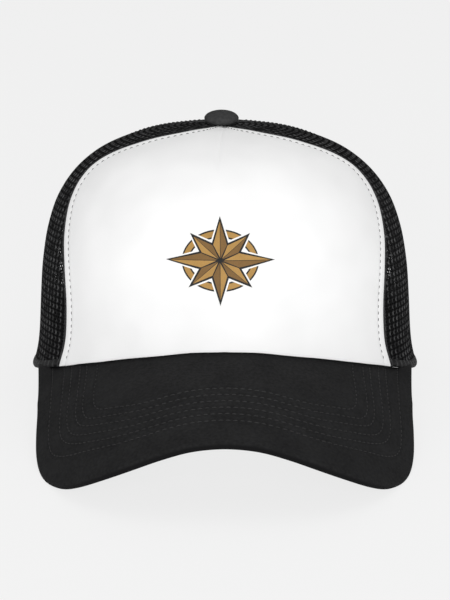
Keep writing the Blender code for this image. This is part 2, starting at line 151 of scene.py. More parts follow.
def rim_height(azimuth):
    """Height of the rim's edge at an azimuth."""
    return FRONT_RISE * spline(RIM["azimuth"], RIM["rise"], np.degrees(turn_from_front(azimuth)))


def climb_at(height):
    """Climb at which the crown reaches a height, read backwards from a fine list."""
    fine = np.linspace(0.0, 1.0, 801)
    return np.interp(height, CROWN_HEIGHT * crown_column("height", fine), fine)


def hem_flare(azimuth, height):
    """How far the hem of the net turns outward: it fades with height and towards the ends."""
    turn = turn_from_front(azimuth)
    around = ease(math.radians(25), math.radians(85), turn)
    around = around * (1.0 - ease(math.radians(105), math.radians(140), turn))
    above = np.clip(height - rim_height(azimuth), 0.0, None)
    return HEM_FLARE * around * np.exp(-(above / HEM_FLARE_HEIGHT) ** 1.3)


def crown_surface(azimuth, climb):
    """Outer surface: x is side times the sine, y is front or back times the cosine, z the height.

    The centre slides forward with height, and the cloth under the button tilts towards the front.
    """
    azimuth, climb = np.broadcast_arrays(azimuth, climb)
    level = crown_column("height", climb)
    height = CROWN_HEIGHT * level
    flare = hem_flare(azimuth, height)
    front = RIM_FRONT * crown_column("front", climb) + flare
    back = RIM_BACK * crown_column("back", climb) + flare
    side = RIM_HALF_WIDTH * crown_column("side", climb) + flare
    ahead = np.cos(azimuth)
    reach = np.where(ahead > 0.0, front, back) * ahead
    across = side * np.sin(azimuth)
    seat = np.exp(-(across ** 2 + reach ** 2) / SEAT_REACH ** 2)
    x = across - TOP_LEAN * level ** 3
    y = -TOP_FORWARD * crown_column("centre", climb) - reach
    z = height - math.tan(SEAT_TILT) * reach * seat
    return np.stack([x, y, z], axis=-1)


def unit(vectors):
    """Vectors scaled to length one."""
    return vectors / np.linalg.norm(vectors, axis=-1, keepdims=True)


def crown_normal(azimuth, climb):
    """Outward normal: the cross product of a small step round and a small step up."""
    step = 1e-4
    around = crown_surface(azimuth + step, climb) - crown_surface(azimuth - step, climb)
    up = np.minimum(climb + step, 1.0)
    down = np.maximum(climb - step, 0.0)
    return unit(np.cross(around, crown_surface(azimuth, up) - crown_surface(azimuth, down)))


def crown_layer(azimuth, climb, depth):
    """The surface moved inward along its normal by a depth."""
    azimuth, climb = np.broadcast_arrays(azimuth, climb)
    depth = np.broadcast_to(depth, azimuth.shape)
    return crown_surface(azimuth, climb) - crown_normal(azimuth, climb) * depth[..., None]


def across_at(offset, height):
    """Azimuth at the rear of a point at a sideways offset and a height: pi less an arc sine."""
    side = RIM_HALF_WIDTH * crown_column("side", climb_at(height))
    return math.pi - np.arcsin(np.clip(offset / side, -1.0, 1.0))


def front_seam_azimuth(climb):
    """Azimuth of the seam between foam and net."""
    return np.radians(spline(FRONT_SEAM["height"], FRONT_SEAM["azimuth"], crown_column("height", climb)))


def seam_margin(climb):
    """Half the gap between two panels, as an angle about the middle."""
    return 0.5 * GAP / np.maximum(RIM_HALF_WIDTH * crown_column("side", climb), TOP_HOLE_RADIUS)


top_fine = np.linspace(0.9, 1.0, 801)
TOP_CLIMB = float(np.interp(-TOP_HOLE_RADIUS, -RIM_HALF_WIDTH * crown_column("side", top_fine), top_fine))
print("panels stop at a climb of", round(TOP_CLIMB, 3))

# %% [markdown]
# ## From the worn cap to the cap at rest
# On a table the cap stands on the bill's two corners and the rear of its rim, so it is tipped nose
# down by about nine degrees. Every piece is worked out as worn and goes through the same turn and
# shift just before its mesh is made. The soft rim gives by a millimetre where it stands.

# %% Tip and stand the points
REST_TIP = math.radians(-9.132533)
REST_SHIFT = np.array([0.0, 30.514, 13.0]) * MM


def to_rest(points):
    """Worn points turned about the x axis by the tip, then shifted, and kept above the floor."""
    cosine, sine = math.cos(REST_TIP), math.sin(REST_TIP)
    x, y, z = points[..., 0], points[..., 1], points[..., 2]
    stood = np.stack([x, y * cosine - z * sine, y * sine + z * cosine], axis=-1) + REST_SHIFT
    stood[..., 2] = np.maximum(stood[..., 2], 0.0)
    return stood


def mirrored(points):
    """The mirror image across the middle plane, which leaves the top's slight lean as it is."""
    points = points.copy()
    level = np.clip(points[..., 2] / CROWN_HEIGHT, 0.0, 1.0)
    points[..., 0] = -points[..., 0] - 2.0 * TOP_LEAN * level ** 3
    return points


# %% Grids, shells and meshes
def quads(rows, columns, start=0, closed=False):
    """Four-cornered faces of a grid of points, as one array; closed joins its last column to its first."""
    index = start + np.arange(rows * columns).reshape(rows, columns)
    if closed:
        index = np.concatenate([index, index[:, :1]], axis=1)
    corners = [index[:-1, :-1], index[:-1, 1:], index[1:, 1:], index[1:, :-1]]
    return np.stack(corners, axis=-1).reshape(-1, 4)


def shell(outer, inner):
    """Closed wall between two grids: the outer faces, the inner faces turned, and a strip round both."""
    rows, columns = outer.shape[:2]
    index = np.arange(rows * columns).reshape(rows, columns)
    edge = np.concatenate([index[0, :-1], index[:-1, -1], index[-1, :0:-1], index[:0:-1, 0]])
    after = np.roll(edge, -1)
    count = rows * columns
    wall = np.stack([after, edge, edge + count, after + count], axis=-1)
    faces = np.concatenate([quads(rows, columns), quads(rows, columns, count)[:, ::-1], wall])
    return np.concatenate([outer.reshape(-1, 3), inner.reshape(-1, 3)]), [faces]


def tube(loops):
    """Closed solid from rings of points, one after another, with a flat face at each end."""
    count, size = loops.shape[:2]
    ends = np.stack([np.arange(size)[::-1], (count - 1) * size + np.arange(size)])
    return loops.reshape(-1, 3), [quads(count, size, closed=True), ends]


def add_piece(name, points, face_sets, finish, flat=None, sharp=60.0):
    """A named object at the origin, with its place in its mesh and an optional map of its cloth."""
    points = to_rest(points)
    mesh = bpy.data.meshes.new(name)
    corners = np.concatenate([faces.ravel() for faces in face_sets]).astype(np.int32)
    sizes = np.concatenate([np.full(len(faces), faces.shape[1]) for faces in face_sets])
    starts = np.concatenate([[0], np.cumsum(sizes)[:-1]]).astype(np.int32)
    mesh.vertices.add(len(points))
    mesh.vertices.foreach_set("co", points.astype(np.float32).ravel())
    mesh.loops.add(len(corners))
    mesh.loops.foreach_set("vertex_index", corners)
    mesh.polygons.add(len(sizes))
    mesh.polygons.foreach_set("loop_start", starts)
    mesh.update(calc_edges=True)
    mesh.shade_smooth()
    mesh.set_sharp_from_angle(angle=math.radians(sharp))
    if flat is not None:
        cloth = mesh.uv_layers.new(name="cloth")
        cloth.data.foreach_set("uv", flat[corners].astype(np.float32).ravel())
    mesh.materials.append(finish)
    piece = bpy.data.objects.new(name, mesh)
    bpy.context.collection.objects.link(piece)
    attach(piece, "root")
    print(name, len(points), "points,", int((sizes - 2).sum()), "triangles")
    return piece


# %% [markdown]
# ## Finishes
# Every finish is a sum of a few patterns: a weave or knit that follows the cloth's own map, a fine
# grain, and slow changes of tone. Writing the sums as Python expressions keeps them readable, so a
# small class stands for a socket and turns each operator into a node.

# %% A socket that can be summed
def add_node(tree, kind, settings, inputs, output=0):
    """A node of a kind: its settings first, then a value or a link for each named socket."""
    node = tree.nodes.new(kind)
    for key, value in settings.items():
        setattr(node, key, value)
    for key, value in inputs.items():
        if isinstance(value, Wire):
            tree.links.new(value.socket, node.inputs[key])
        else:
            node.inputs[key].default_value = value
    return Wire(tree, node.outputs[output])


class Wire:
    """One output socket; sums, products and powers of it add Math nodes."""

    def __init__(self, tree, socket):
        self.tree = tree
        self.socket = socket

    def node(self, kind, settings, inputs, output=0):
        """Any other node in the same tree."""
        return add_node(self.tree, kind, settings, inputs, output)

    def math(self, operation, *values):
        """A Math node on these values."""
        return self.node("ShaderNodeMath", {"operation": operation}, dict(enumerate(values)))

    def __add__(self, other):
        return self.math("ADD", self, other)

    def __sub__(self, other):
        return self.math("SUBTRACT", self, other)

    def __rsub__(self, other):
        return self.math("SUBTRACT", other, self)

    def __mul__(self, other):
        return self.math("MULTIPLY", self, other)

    def __truediv__(self, other):
        return self.math("DIVIDE", self, other)

    __radd__ = __add__
    __rmul__ = __mul__

    def wave(self):
        """The sine, raised to run from 0 to 1."""
        return self.math("SINE", self) * 0.5 + 0.5

    def between(self, low, high):
        """A clipped ramp: 0 at low, 1 at high."""
        settings = {"clamp": True}
        return self.node("ShaderNodeMapRange", settings, {0: self, 1: low, 2: high, 3: 0.0, 4: 1.0})

    def blend(self, low, high):
        """A colour between two colours, with this value as the share."""
        settings = {"data_type": "RGBA"}
        return self.node("ShaderNodeMix", settings, {0: self, 6: (*low, 1.0), 7: (*high, 1.0)}, 2)


# %% The parts that all finishes share
def start_finish(name, **fixed):
    """A material, its shader, and values that are the same all over set on the shader's sockets."""
    material = bpy.data.materials.new(name)
    material.use_nodes = True
    shader = material.node_tree.nodes["Principled BSDF"]
    for key, value in fixed.items():
        shader.inputs[key.replace("_", " ")].default_value = value
    return material, shader


def place(tree):
    """Where a point is on the object, in metres."""
    return add_node(tree, "ShaderNodeTexCoord", {}, {}, "Object")


def grain(tree, size, detail=2.0):
    """Noise whose features are about a size across, in metres, from 0 to 1."""
    inputs = {"Vector": place(tree), "Scale": 1.0 / size, "Detail": detail}
    return add_node(tree, "ShaderNodeTexNoise", {}, inputs)


def cloth_axes(tree):
    """The two directions of the cloth's own map, in metres."""
    flat = add_node(tree, "ShaderNodeUVMap", {"uv_map": "cloth"}, {})
    pick = tree.nodes.new("ShaderNodeSeparateXYZ")
    tree.links.new(flat.socket, pick.inputs[0])
    return Wire(tree, pick.outputs[0]), Wire(tree, pick.outputs[1])


def dress(material, shader, colour, roughness, height, distance, strength=1.0):
    """Links what changes over the surface: colour, roughness, and a bump of a height in metres."""
    tree = material.node_tree
    links = {"Base Color": colour, "Roughness": roughness}
    settings = {"Strength": strength, "Distance": distance, "Height": height}
    bump = add_node(tree, "ShaderNodeBump", {}, settings)
    links["Normal"] = bump
    for key, value in links.items():
        tree.links.new(value.socket, shader.inputs[key])
    print("finish:", material.name, len(tree.nodes), "nodes")
    return material


# %% [markdown]
# The foam front is faced with a smooth knitted cloth. Its knit is far finer than a pixel of the
# picture, so it only takes the shine off, and slow changes of tone show how the foam is pressed.

# %% Foam cloth
def foam_finish():
    """White knit: two crossed waves half a millimetre apart, grain, and slow changes of tone."""
    material, shader = start_finish("white foam cloth", Specular_IOR_Level=0.1)
    tree = material.node_tree
    along, up = cloth_axes(tree)
    knit = (along * (2.0 * math.pi / (0.62 * MM))).wave() * (up * (2.0 * math.pi / (0.5 * MM))).wave()
    fuzz = grain(tree, 0.4 * MM, 3.0)
    slow = grain(tree, 22.0 * MM, 1.0)
    tone = slow.between(0.3, 0.7) * 0.75 + fuzz * 0.25
    colour = tone.blend((0.865, 0.865, 0.865), (0.93, 0.93, 0.93))
    return dress(material, shader, colour, fuzz * 0.15 + 0.78, knit * 0.6 + fuzz * 0.4, 0.05 * MM, 0.5)


white_foam = foam_finish()

# %% [markdown]
# The bill, the button and the tapes are cut from black cotton twill. Twill shows as fine slanting
# wales, so its height is a wave across the slant of the cloth's map, with a second, finer wave for
# the yarns, and lint makes a few threads greyer than the rest.

# %% Twill
def twill_finish(name, dark, light, wale=0.75 * MM, edge=False):
    """Black twill: slanting wales, yarns across them, and greyer threads; painted shade darkens a turned edge.
    """
    material, shader = start_finish(name, Specular_IOR_Level=0.03)
    tree = material.node_tree
    along, up = cloth_axes(tree)
    wales = ((along + up * 1.7) * (2.0 * math.pi / wale)).wave()
    yarns = ((along * 1.2 - up) * (2.0 * math.pi / (0.42 * MM))).wave()
    fuzz = grain(tree, 0.5 * MM, 3.0)
    slub = grain(tree, 1.3 * MM, 2.0).between(0.3, 0.7)
    slow = grain(tree, 14.0 * MM, 2.0).between(0.3, 0.7)
    tone = fuzz.between(0.25, 0.85) * 0.2 + slub * 0.4 + slow * 0.2 + wales * 0.2
    # painted shade: the edge attribute darkens the bill's rolled front edge and underside to the dark colour
    if edge:
        tone = tone * (1.0 - add_node(tree, "ShaderNodeAttribute", {"attribute_name": "edge"}, {}, "Fac"))
    colour = tone.blend(dark, light)
    height = wales * 0.55 + yarns * 0.2 + fuzz * 0.35
    return dress(material, shader, colour, fuzz * 0.2 + 0.66, height, 0.09 * MM, 0.8)


# the bill's twill takes the painted shade of its edge and underside
bill_twill = twill_finish("bill twill", (0.0075, 0.0075, 0.0079), (0.0270, 0.0270, 0.0275), edge=True)
button_twill = twill_finish("button twill", (0.026, 0.026, 0.0265), (0.066, 0.066, 0.067), 0.6 * MM)
tape_twill = twill_finish("tape twill", (0.009, 0.009, 0.0095), (0.026, 0.026, 0.0265), 0.9 * MM)
band_twill = twill_finish("sweatband cloth", (0.010, 0.010, 0.0105), (0.024, 0.024, 0.0245), 1.1 * MM)

# %% [markdown]
# The snap strap is moulded plastic with a faint flow grain, stitches are twisted thread, and the
# print is ink that lets the knit show through.

# %% Plastic, thread and print
def moulded_finish():
    """Black moulded plastic: an even grain and slow flow marks."""
    material, shader = start_finish("black moulded plastic", Specular_IOR_Level=0.45)
    tree = material.node_tree
    speck = grain(tree, 0.6 * MM, 2.0)
    flow = grain(tree, 12.0 * MM, 2.0)
    colour = (speck * 0.4 + flow * 0.6).blend((0.011, 0.011, 0.012), (0.024, 0.024, 0.025))
    return dress(material, shader, colour, flow * 0.2 + 0.30, speck * 0.6 + flow * 0.4, 0.05 * MM, 0.5)


def thread_finish(name, dark, light):
    """Sewing thread: a close grain stands for its twist."""
    material, shader = start_finish(name, Specular_IOR_Level=0.4)
    tree = material.node_tree
    twist = grain(tree, 0.22 * MM, 2.0)
    colour = twist.between(0.3, 0.7).blend(dark, light)
    return dress(material, shader, colour, twist * 0.2 + 0.5, twist, 0.06 * MM, 0.8)


def print_finish(name, dark, light):
    """Screen ink on cloth: the knit shows through as a fine unevenness."""
    material, shader = start_finish(name, Specular_IOR_Level=0.3)
    tree = material.node_tree
    knit = grain(tree, 0.5 * MM, 3.0)
    slow = grain(tree, 6.0 * MM, 1.0)
    tone = (knit * 0.6 + slow * 0.4).between(0.3, 0.7)
    return dress(material, shader, tone.blend(dark, light), knit * 0.15 + 0.6, knit, 0.04 * MM, 0.6)


moulded_plastic = moulded_finish()
black_thread = thread_finish("black thread", (0.008, 0.008, 0.008), (0.026, 0.026, 0.0265))
grey_thread = thread_finish("grey thread", (0.10, 0.10, 0.10), (0.24, 0.24, 0.24))
tan_ink = print_finish("tan ink", (0.35, 0.20, 0.055), (0.47, 0.27, 0.08))
brown_ink = print_finish("brown ink", (0.16, 0.088, 0.028), (0.23, 0.125, 0.04))
black_ink = print_finish("black ink", (0.008, 0.008, 0.008), (0.020, 0.020, 0.020))
white_ink = print_finish("white ink", (0.84, 0.84, 0.83), (0.90, 0.90, 0.89))

# %% [markdown]
# ## Stitches
# A stitch is a short length of thread that rises from the cloth and goes back into it. A whole seam
# is one array: the seam's path is measured by its length, cut into starts and ends, and each pair
# carries rings of points whose height follows a half sine.

# %% Rows of stitches
STITCH_RINGS = np.linspace(0.0, 1.0, 6)
STITCH_SIDES = 6


def sew(name, path, normals, pitch, length, radius, finish, lift=0.0):
    """Stitches along a path: ring centre = chord + normal times a half sine, closed at both ends."""
    run = lengths_along(path[:, 0], path[:, 1], path[:, 2])
    starts = np.arange(0.5 * pitch, run[-1] - length, pitch)
    at = starts[:, None] + length * STITCH_RINGS
    middle = np.stack([np.interp(at, run, path[:, axis]) for axis in range(3)], axis=-1)
    normal = unit(np.stack([np.interp(at, run, normals[:, axis]) for axis in range(3)], axis=-1))
    along = unit(middle[:, -1:] - middle[:, :1])
    aside = unit(np.cross(normal, along))
    arch = np.sin(math.pi * STITCH_RINGS)[None, :, None]
    middle = middle + normal * (lift + radius * (1.3 * arch - 0.55))
    turn = 2.0 * math.pi * np.arange(STITCH_SIDES) / STITCH_SIDES
    girth = radius * (0.35 + 0.65 * arch ** 0.5)[..., None]
    ring = aside[:, :, None] * np.cos(turn)[:, None] + normal[:, :, None] * np.sin(turn)[:, None]
    points = middle[:, :, None] + girth * ring
    count, rings, sides = points.shape[:3]
    one = quads(rings, sides, closed=True)
    ends = np.stack([np.arange(sides)[::-1], (rings - 1) * sides + np.arange(sides)])
    step = (np.arange(count) * rings * sides)[:, None, None]
    face_sets = [(one + step).reshape(-1, 4), (ends + step).reshape(-1, sides)]
    return add_piece(name, points.reshape(-1, 3), face_sets, finish)


# %% [markdown]
# ## The foam front
# One piece of foam, cut with a short dart below the button so that it bends two ways. A fine grid
# from seam to seam carries what the foam does: its edge rolls under at the seams, the seam's
# stitches pull it down, and the dart leaves a slanting crease.

# %% Places on the front panel
def front_place(share, rise):
    """Azimuth and climb: share from seam (-1) to seam (1), rise from the rim (0) to the button (1)."""
    share, rise = np.broadcast_arrays(share, rise)
    azimuth = np.radians(58.0) * share
    for _ in range(4):
        lower = climb_at(rim_height(azimuth))
        azimuth = (front_seam_azimuth(lower) - seam_margin(lower)) * share
    climb = lower + (TOP_CLIMB - lower) * rise
    return (front_seam_azimuth(climb) - seam_margin(climb)) * share, climb


def half_width(climb):
    """Length along the cloth from the middle of the front to its seam, by forty straight steps."""
    turns = np.linspace(0.0, 1.0, 41)[:, None] * front_seam_azimuth(climb)[None, :]
    line = crown_surface(turns, np.broadcast_to(climb, turns.shape))
    return np.linalg.norm(np.diff(line, axis=0), axis=-1).sum(axis=0)


fine_climbs = np.linspace(0.0, 1.0, 201)
fine_widths = half_width(fine_climbs)
middle_width = float(np.interp(0.5, fine_climbs, fine_widths))
print("half width of the front at its middle, mm:", round(middle_width / MM, 1))

# %% The front panel
SEAM_ROLL = 0.9 * MM
STITCH_INSET = 4.6 * MM
DART_TOP = (-0.4 * MM, 0.93)
DART_TIP = (-4.0 * MM, 0.59)


def front_relief(share, rise, azimuth, climb):
    """How far the cloth lies below the crown's surface at each point, in metres."""
    width = np.interp(climb, fine_climbs, fine_widths)
    inset = (1.0 - np.abs(share)) * width
    edge = np.clip(1.0 - inset / SEAM_ROLL, 0.0, 1.0)
    roll = 0.45 * MM * (1.0 - np.sqrt(1.0 - 0.98 * edge ** 2))
    row = np.minimum(STITCH_INSET, 0.35 * width)
    pulled = 0.30 * MM * np.exp(-((inset - row) / (0.8 * MM)) ** 2)
    rim = np.clip(1.0 - rise * SIDE_LENGTH / (0.8 * MM), 0.0, 1.0)
    turned = 0.25 * MM * (1.0 - np.sqrt(1.0 - 0.98 * rim ** 2))
    across = crown_surface(azimuth, climb)[..., 0]
    down = np.clip((DART_TOP[1] - climb) / (DART_TOP[1] - DART_TIP[1]), 0.0, 1.0)
    line = DART_TOP[0] + (DART_TIP[0] - DART_TOP[0]) * down
    inside = ease(DART_TIP[1] - 0.02, DART_TIP[1] + 0.10, climb)
    crease = 0.50 * MM * np.exp(-np.abs((across - line) / (1.1 * MM)) ** 1.5) * inside
    ridges = np.sin(across / (2.3 * MM)) * np.exp(-((across + 52.0 * MM) / (16.0 * MM)) ** 2)
    ridges = 0.07 * MM * ridges * np.exp(-((climb - 0.33) / 0.16) ** 2)
    return roll + pulled + turned + crease + ridges


def front_panel(columns=225, rows=161):
    """The foam front: a fine outer grid with its relief, and a smooth inner grid behind it."""
    share = np.linspace(-1.0, 1.0, columns)
    share = (np.sin(0.5 * math.pi * share) * 0.35 + 0.65 * share)[None, :]
    rise = np.linspace(0.0, 1.0, rows)[:, None] ** 1.1
    azimuth, climb = front_place(share, rise)
    outer = crown_layer(azimuth, climb, front_relief(share, rise, azimuth, climb))
    inner = crown_layer(azimuth, climb, FOAM_WALL)
    width = np.interp(climb, fine_climbs, fine_widths)
    flat = np.stack([share * width, climb * SIDE_LENGTH], axis=-1).reshape(-1, 2)
    points, faces = shell(outer, inner)
    return add_piece("foam_front", points, faces, white_foam, np.concatenate([flat, flat]))


foam_front = front_panel()
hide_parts("front_panel")

# %% Seam stitches and the dart's stitches
def seam_path(side, count=400):
    """Path and normals on the foam along its row of stitches, from the rim to the button."""
    rise = np.linspace(0.012, 0.985, count)
    width = np.interp(front_place(side, rise)[1], fine_climbs, fine_widths)
    share = side * (1.0 - np.minimum(STITCH_INSET, 0.35 * width) / width)
    azimuth, climb = front_place(share, rise)
    relief = front_relief(share, rise, azimuth, climb)
    return crown_layer(azimuth, climb, relief), crown_normal(azimuth, climb)


for side, word in ((-1.0, "left"), (1.0, "right")):
    path, normals = seam_path(side)
    sew(f"foam_seam_stitches_{word}", path, normals, 2.9 * MM, 1.75 * MM, 0.19 * MM, grey_thread)

# %% [markdown]
# ## The net
# Cap net is a warp knit: its threads run upright, join in short pillars and part again round
# six-sided holes. A picture of holes would not let light through, so every hole is cut: the cells
# are laid out flat, their shared corners become the ridge of the threads, a smaller hexagon inside
# each is the edge of its hole, and both sides meet there. Laid on the crown, the pillars run up
# from the rim. Cells cut by a seam are squeezed against
# it, where the seam's strip covers them.

# %% Lay out and wrap the cells
CELL_WIDTH = 2.3 * MM
CELL_RADIUS = CELL_WIDTH / math.sqrt(3.0)
CELL_SQUEEZE = 0.72
ROW_PITCH = 1.5 * CELL_RADIUS * CELL_SQUEEZE
HOLE_SHARE = 0.62
NET_OUTER = 0.10 * MM
NET_INNER = 0.85 * MM


def painted_pillar_highlights(along, up):
    """Painted highlight on every fourth line of pillars: a wave across the lines times one along them."""
    line = (along * (math.pi / CELL_WIDTH) + 0.5 * math.pi).wave().between(0.62, 0.95)
    return line * ((up * (math.pi / ROW_PITCH) - 0.5 * math.pi).wave() * 0.5 + 0.5)


def net_finish():
    """Black yarn: a fine grain breaks up its shine, and painted highlights make some pillars of thread
    lighter.
    """
    material, shader = start_finish("black net yarn", Specular_IOR_Level=0.04)
    tree = material.node_tree
    fibre = grain(tree, 0.28 * MM, 3.0)
    # marks: painted highlights on the pillars, faded in and out by a slow grain
    marks = painted_pillar_highlights(*cloth_axes(tree)) * grain(tree, 5.0 * MM, 2.0).between(0.30, 0.60)
    tone = marks * 0.90 + fibre.between(0.3, 0.75) * 0.06
    colour = tone.blend((0.0022, 0.0022, 0.0024), (0.105, 0.105, 0.107))
    return dress(material, shader, colour, fibre * 0.25 + 0.5, fibre, 0.12 * MM, 0.7)


net_yarn = net_finish()


def mean_radius(climb):
    """Half the width and half the depth of the crown, averaged, which turns a length into an angle."""
    return 0.5 * (RIM_HALF_WIDTH * crown_column("side", climb) + RIM_BACK * crown_column("back", climb))


def clamp_to_side(azimuth, climb):
    """A place moved inside the side panel, between the front seam, the side seam, rim and button."""
    climb = np.minimum(climb, TOP_CLIMB)
    near = front_seam_azimuth(climb) + seam_margin(climb)
    azimuth = np.clip(azimuth, near, SIDE_SEAM_AZIMUTH - seam_margin(climb))
    return azimuth, np.maximum(climb, climb_at(rim_height(azimuth)))


ARCH_HALF_WIDTH = 46.0 * MM
ARCH_HEIGHT = 56.0 * MM


def clamp_to_back(azimuth, climb):
    """A place moved inside the back panel, and out of the half-moon along a ray from its foot."""
    climb = np.clip(climb, 0.0, TOP_CLIMB)
    margin = seam_margin(climb)
    azimuth = np.clip(azimuth, SIDE_SEAM_AZIMUTH + margin, math.pi - margin)
    offset = RIM_HALF_WIDTH * crown_column("side", climb) * np.sin(azimuth)
    height = CROWN_HEIGHT * crown_column("height", climb)
    out = np.maximum(np.hypot(offset / ARCH_HALF_WIDTH, height / ARCH_HEIGHT), 1e-3)
    inside = out < 1.0
    azimuth = np.where(inside, across_at(offset / out, height / out), azimuth)
    climb = np.where(inside, climb_at(height / out), climb)
    return azimuth, np.maximum(climb, climb_at(rim_height(azimuth)))


def net(name, reference, span, clamp, mirror):
    """Net over a panel: cells kept where their middles lie inside it, corners shared by whole numbers."""
    half = int(span * mean_radius(0.0) / CELL_WIDTH) + 2
    columns = np.arange(-half, half)
    rows = np.arange(-2, int(SIDE_LENGTH / ROW_PITCH) + 2)
    column, row = [grid.ravel() for grid in np.meshgrid(columns, rows, indexing="ij")]
    middle = np.stack([CELL_WIDTH * (column + 0.5 * (row % 2)), ROW_PITCH * row], axis=-1)

    def wrap(flat):
        """Azimuth and climb of a flat place: length over radius, and length over side length."""
        climb = flat[..., 1] / SIDE_LENGTH
        return reference + flat[..., 0] / mean_radius(np.clip(climb, 0.0, TOP_CLIMB)), climb

    azimuth, climb = wrap(middle)
    held_azimuth, held_climb = clamp(azimuth, climb)
    moved = np.hypot((azimuth - held_azimuth) * mean_radius(held_climb), (climb - held_climb) * SIDE_LENGTH)
    middle = middle[moved < 0.15 * CELL_RADIUS]

    turn = np.radians(30.0 + 60.0 * np.arange(6))
    spoke = CELL_RADIUS * np.stack([np.cos(turn), CELL_SQUEEZE * np.sin(turn)], axis=-1)
    corner = middle[:, None] + spoke
    step = np.array([0.5 * CELL_WIDTH, 0.5 * CELL_RADIUS * CELL_SQUEEZE])
    whole = np.rint(corner / step).astype(np.int64)
    _, first, share = np.unique(whole.reshape(-1, 2), axis=0, return_index=True, return_inverse=True)
    share = share.reshape(-1, 6)
    ridge = corner.reshape(-1, 2)[first]
    hole = (middle[:, None] + HOLE_SHARE * spoke).reshape(-1, 2)

    ridge_place = clamp(*wrap(ridge))
    hole_place = clamp(*wrap(hole))
    points = np.concatenate([
        crown_layer(*ridge_place, NET_OUTER),
        crown_layer(*ridge_place, NET_INNER),
        crown_layer(*hole_place, 0.5 * (NET_OUTER + NET_INNER)),
    ])
    after = np.roll(share, -1, axis=1)
    rim = 2 * len(ridge) + np.arange(len(hole)).reshape(-1, 6)
    rim_after = np.roll(rim, -1, axis=1)
    outer = np.stack([share, after, rim_after, rim], axis=-1).reshape(-1, 4)
    inner = np.stack([rim, rim_after, after + len(ridge), share + len(ridge)], axis=-1).reshape(-1, 4)
    edges = np.stack([share, after], axis=-1).reshape(-1, 2)
    _, back, uses = np.unique(np.sort(edges, axis=1), axis=0, return_index=True, return_counts=True)
    lone = edges[back[uses == 1]]
    wall = np.stack([lone[:, 1], lone[:, 0], lone[:, 0] + len(ridge), lone[:, 1] + len(ridge)], axis=-1)
    faces = np.concatenate([outer, inner, wall])
    if mirror:
        points, faces = mirrored(points), faces[:, ::-1]
    piece = add_piece(name, points, [faces], net_yarn, np.concatenate([ridge, ridge, hole]), sharp=80.0)
    print(name, "has", len(middle), "holes")
    return piece


# %% The four net panels
side_middle = math.radians(88.0)
back_middle = math.radians(149.0)
for word, mirror in (("right", False), ("left", True)):
    side_net = net(f"side_net_{word}", side_middle, math.radians(34.0), clamp_to_side, mirror)
    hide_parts(f"side_mesh_{word}")
    back_net = net(f"back_net_{word}", back_middle, math.radians(34.0), clamp_to_back, mirror)
    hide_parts(f"back_mesh_{word}")

# %% [markdown]
# ## Folded edges of the net
# Where the net meets a seam it is turned in, so its edge is double and shows as a narrow dense
# strip, and round the rim it is rolled into a hem. Each strip is a thin crowned shell that follows
# the panel's edge and carries a knit in its map.

# %% Places on the net panels
def side_place(share, rise):
    """Azimuth and climb: share from the front seam (0) to the side seam (1), rise from the rim up."""
    share, rise = np.broadcast_arrays(share, rise)
    azimuth = np.radians(58.0) + 0.0 * share
    for _ in range(4):
        lower = climb_at(rim_height(azimuth))
        near = front_seam_azimuth(lower) + seam_margin(lower)
        azimuth = near + (SIDE_SEAM_AZIMUTH - seam_margin(lower) - near) * share
    climb = lower + (TOP_CLIMB - lower) * rise
    near = front_seam_azimuth(climb) + seam_margin(climb)
    return near + (SIDE_SEAM_AZIMUTH - seam_margin(climb) - near) * share, climb


ARCH_FOOT = float(across_at(ARCH_HALF_WIDTH, 0.0))


def back_place(share, rise):
    """Azimuth and climb: share from the side seam (0) to the centre back (1), over rim, then arch."""
    share, rise = np.broadcast_arrays(share, rise)
    rim_turn = 0.5 * math.pi * np.clip(3.0 * share, 0.0, 1.0)
    along_rim = SIDE_SEAM_AZIMUTH + (ARCH_FOOT - SIDE_SEAM_AZIMUTH) * np.sin(rim_turn)
    arch_turn = 0.5 * math.pi * np.clip(1.5 * share - 0.5, 0.0, 1.0)
    height = ARCH_HEIGHT * np.sin(arch_turn)
    on_arch = share > 1.0 / 3.0
    lower_azimuth = np.where(on_arch, across_at(ARCH_HALF_WIDTH * np.cos(arch_turn), height), along_rim)
    lower_climb = np.where(on_arch, climb_at(height), climb_at(rim_height(along_rim)))
    climb = lower_climb + (TOP_CLIMB - lower_climb) * rise
    upper = SIDE_SEAM_AZIMUTH + (math.pi - SIDE_SEAM_AZIMUTH) * share
    azimuth = lower_azimuth + (upper - lower_azimuth) * rise
    return azimuth + seam_margin(climb) * (1.0 - 2.0 * share), climb


def panel_width(placing, rise):
    """Length of a panel from edge to edge at each rise, by thirty straight steps."""
    share = np.linspace(0.0, 1.0, 31)[:, None]
    line = crown_surface(*placing(share, rise[None, :]))
    return np.linalg.norm(np.diff(line, axis=0), axis=-1).sum(axis=0)


# %% Strips along the panels' edges
STRIP_CROWN = 0.08 * MM


def edge_strip(name, placing, edge, width, mirror, finish, count=181):
    """A crowned strip beside an upright edge: share runs in from the edge by a width over the panel's."""
    rise = np.linspace(0.0, 0.985, count)
    inward = np.linspace(0.0, 1.0, 7)[None, :]
    share = inward * (width / panel_width(placing, rise))[:, None]
    share = 1.0 - share[:, ::-1] if edge else share
    azimuth, climb = placing(share, rise[:, None])
    crown = np.sin(math.pi * inward) ** 0.6
    outer = crown_layer(azimuth, climb, 0.12 * MM - (STRIP_CROWN + 0.12 * MM) * crown)
    points, faces = shell(outer, crown_layer(azimuth, climb, MESH_WALL))
    flat = np.stack([inward * width + 0.0 * azimuth, climb * SIDE_LENGTH], axis=-1).reshape(-1, 2)
    if mirror:
        points, faces = mirrored(points), [part[:, ::-1] for part in faces]
    return add_piece(name, points, faces, finish, np.concatenate([flat, flat]))


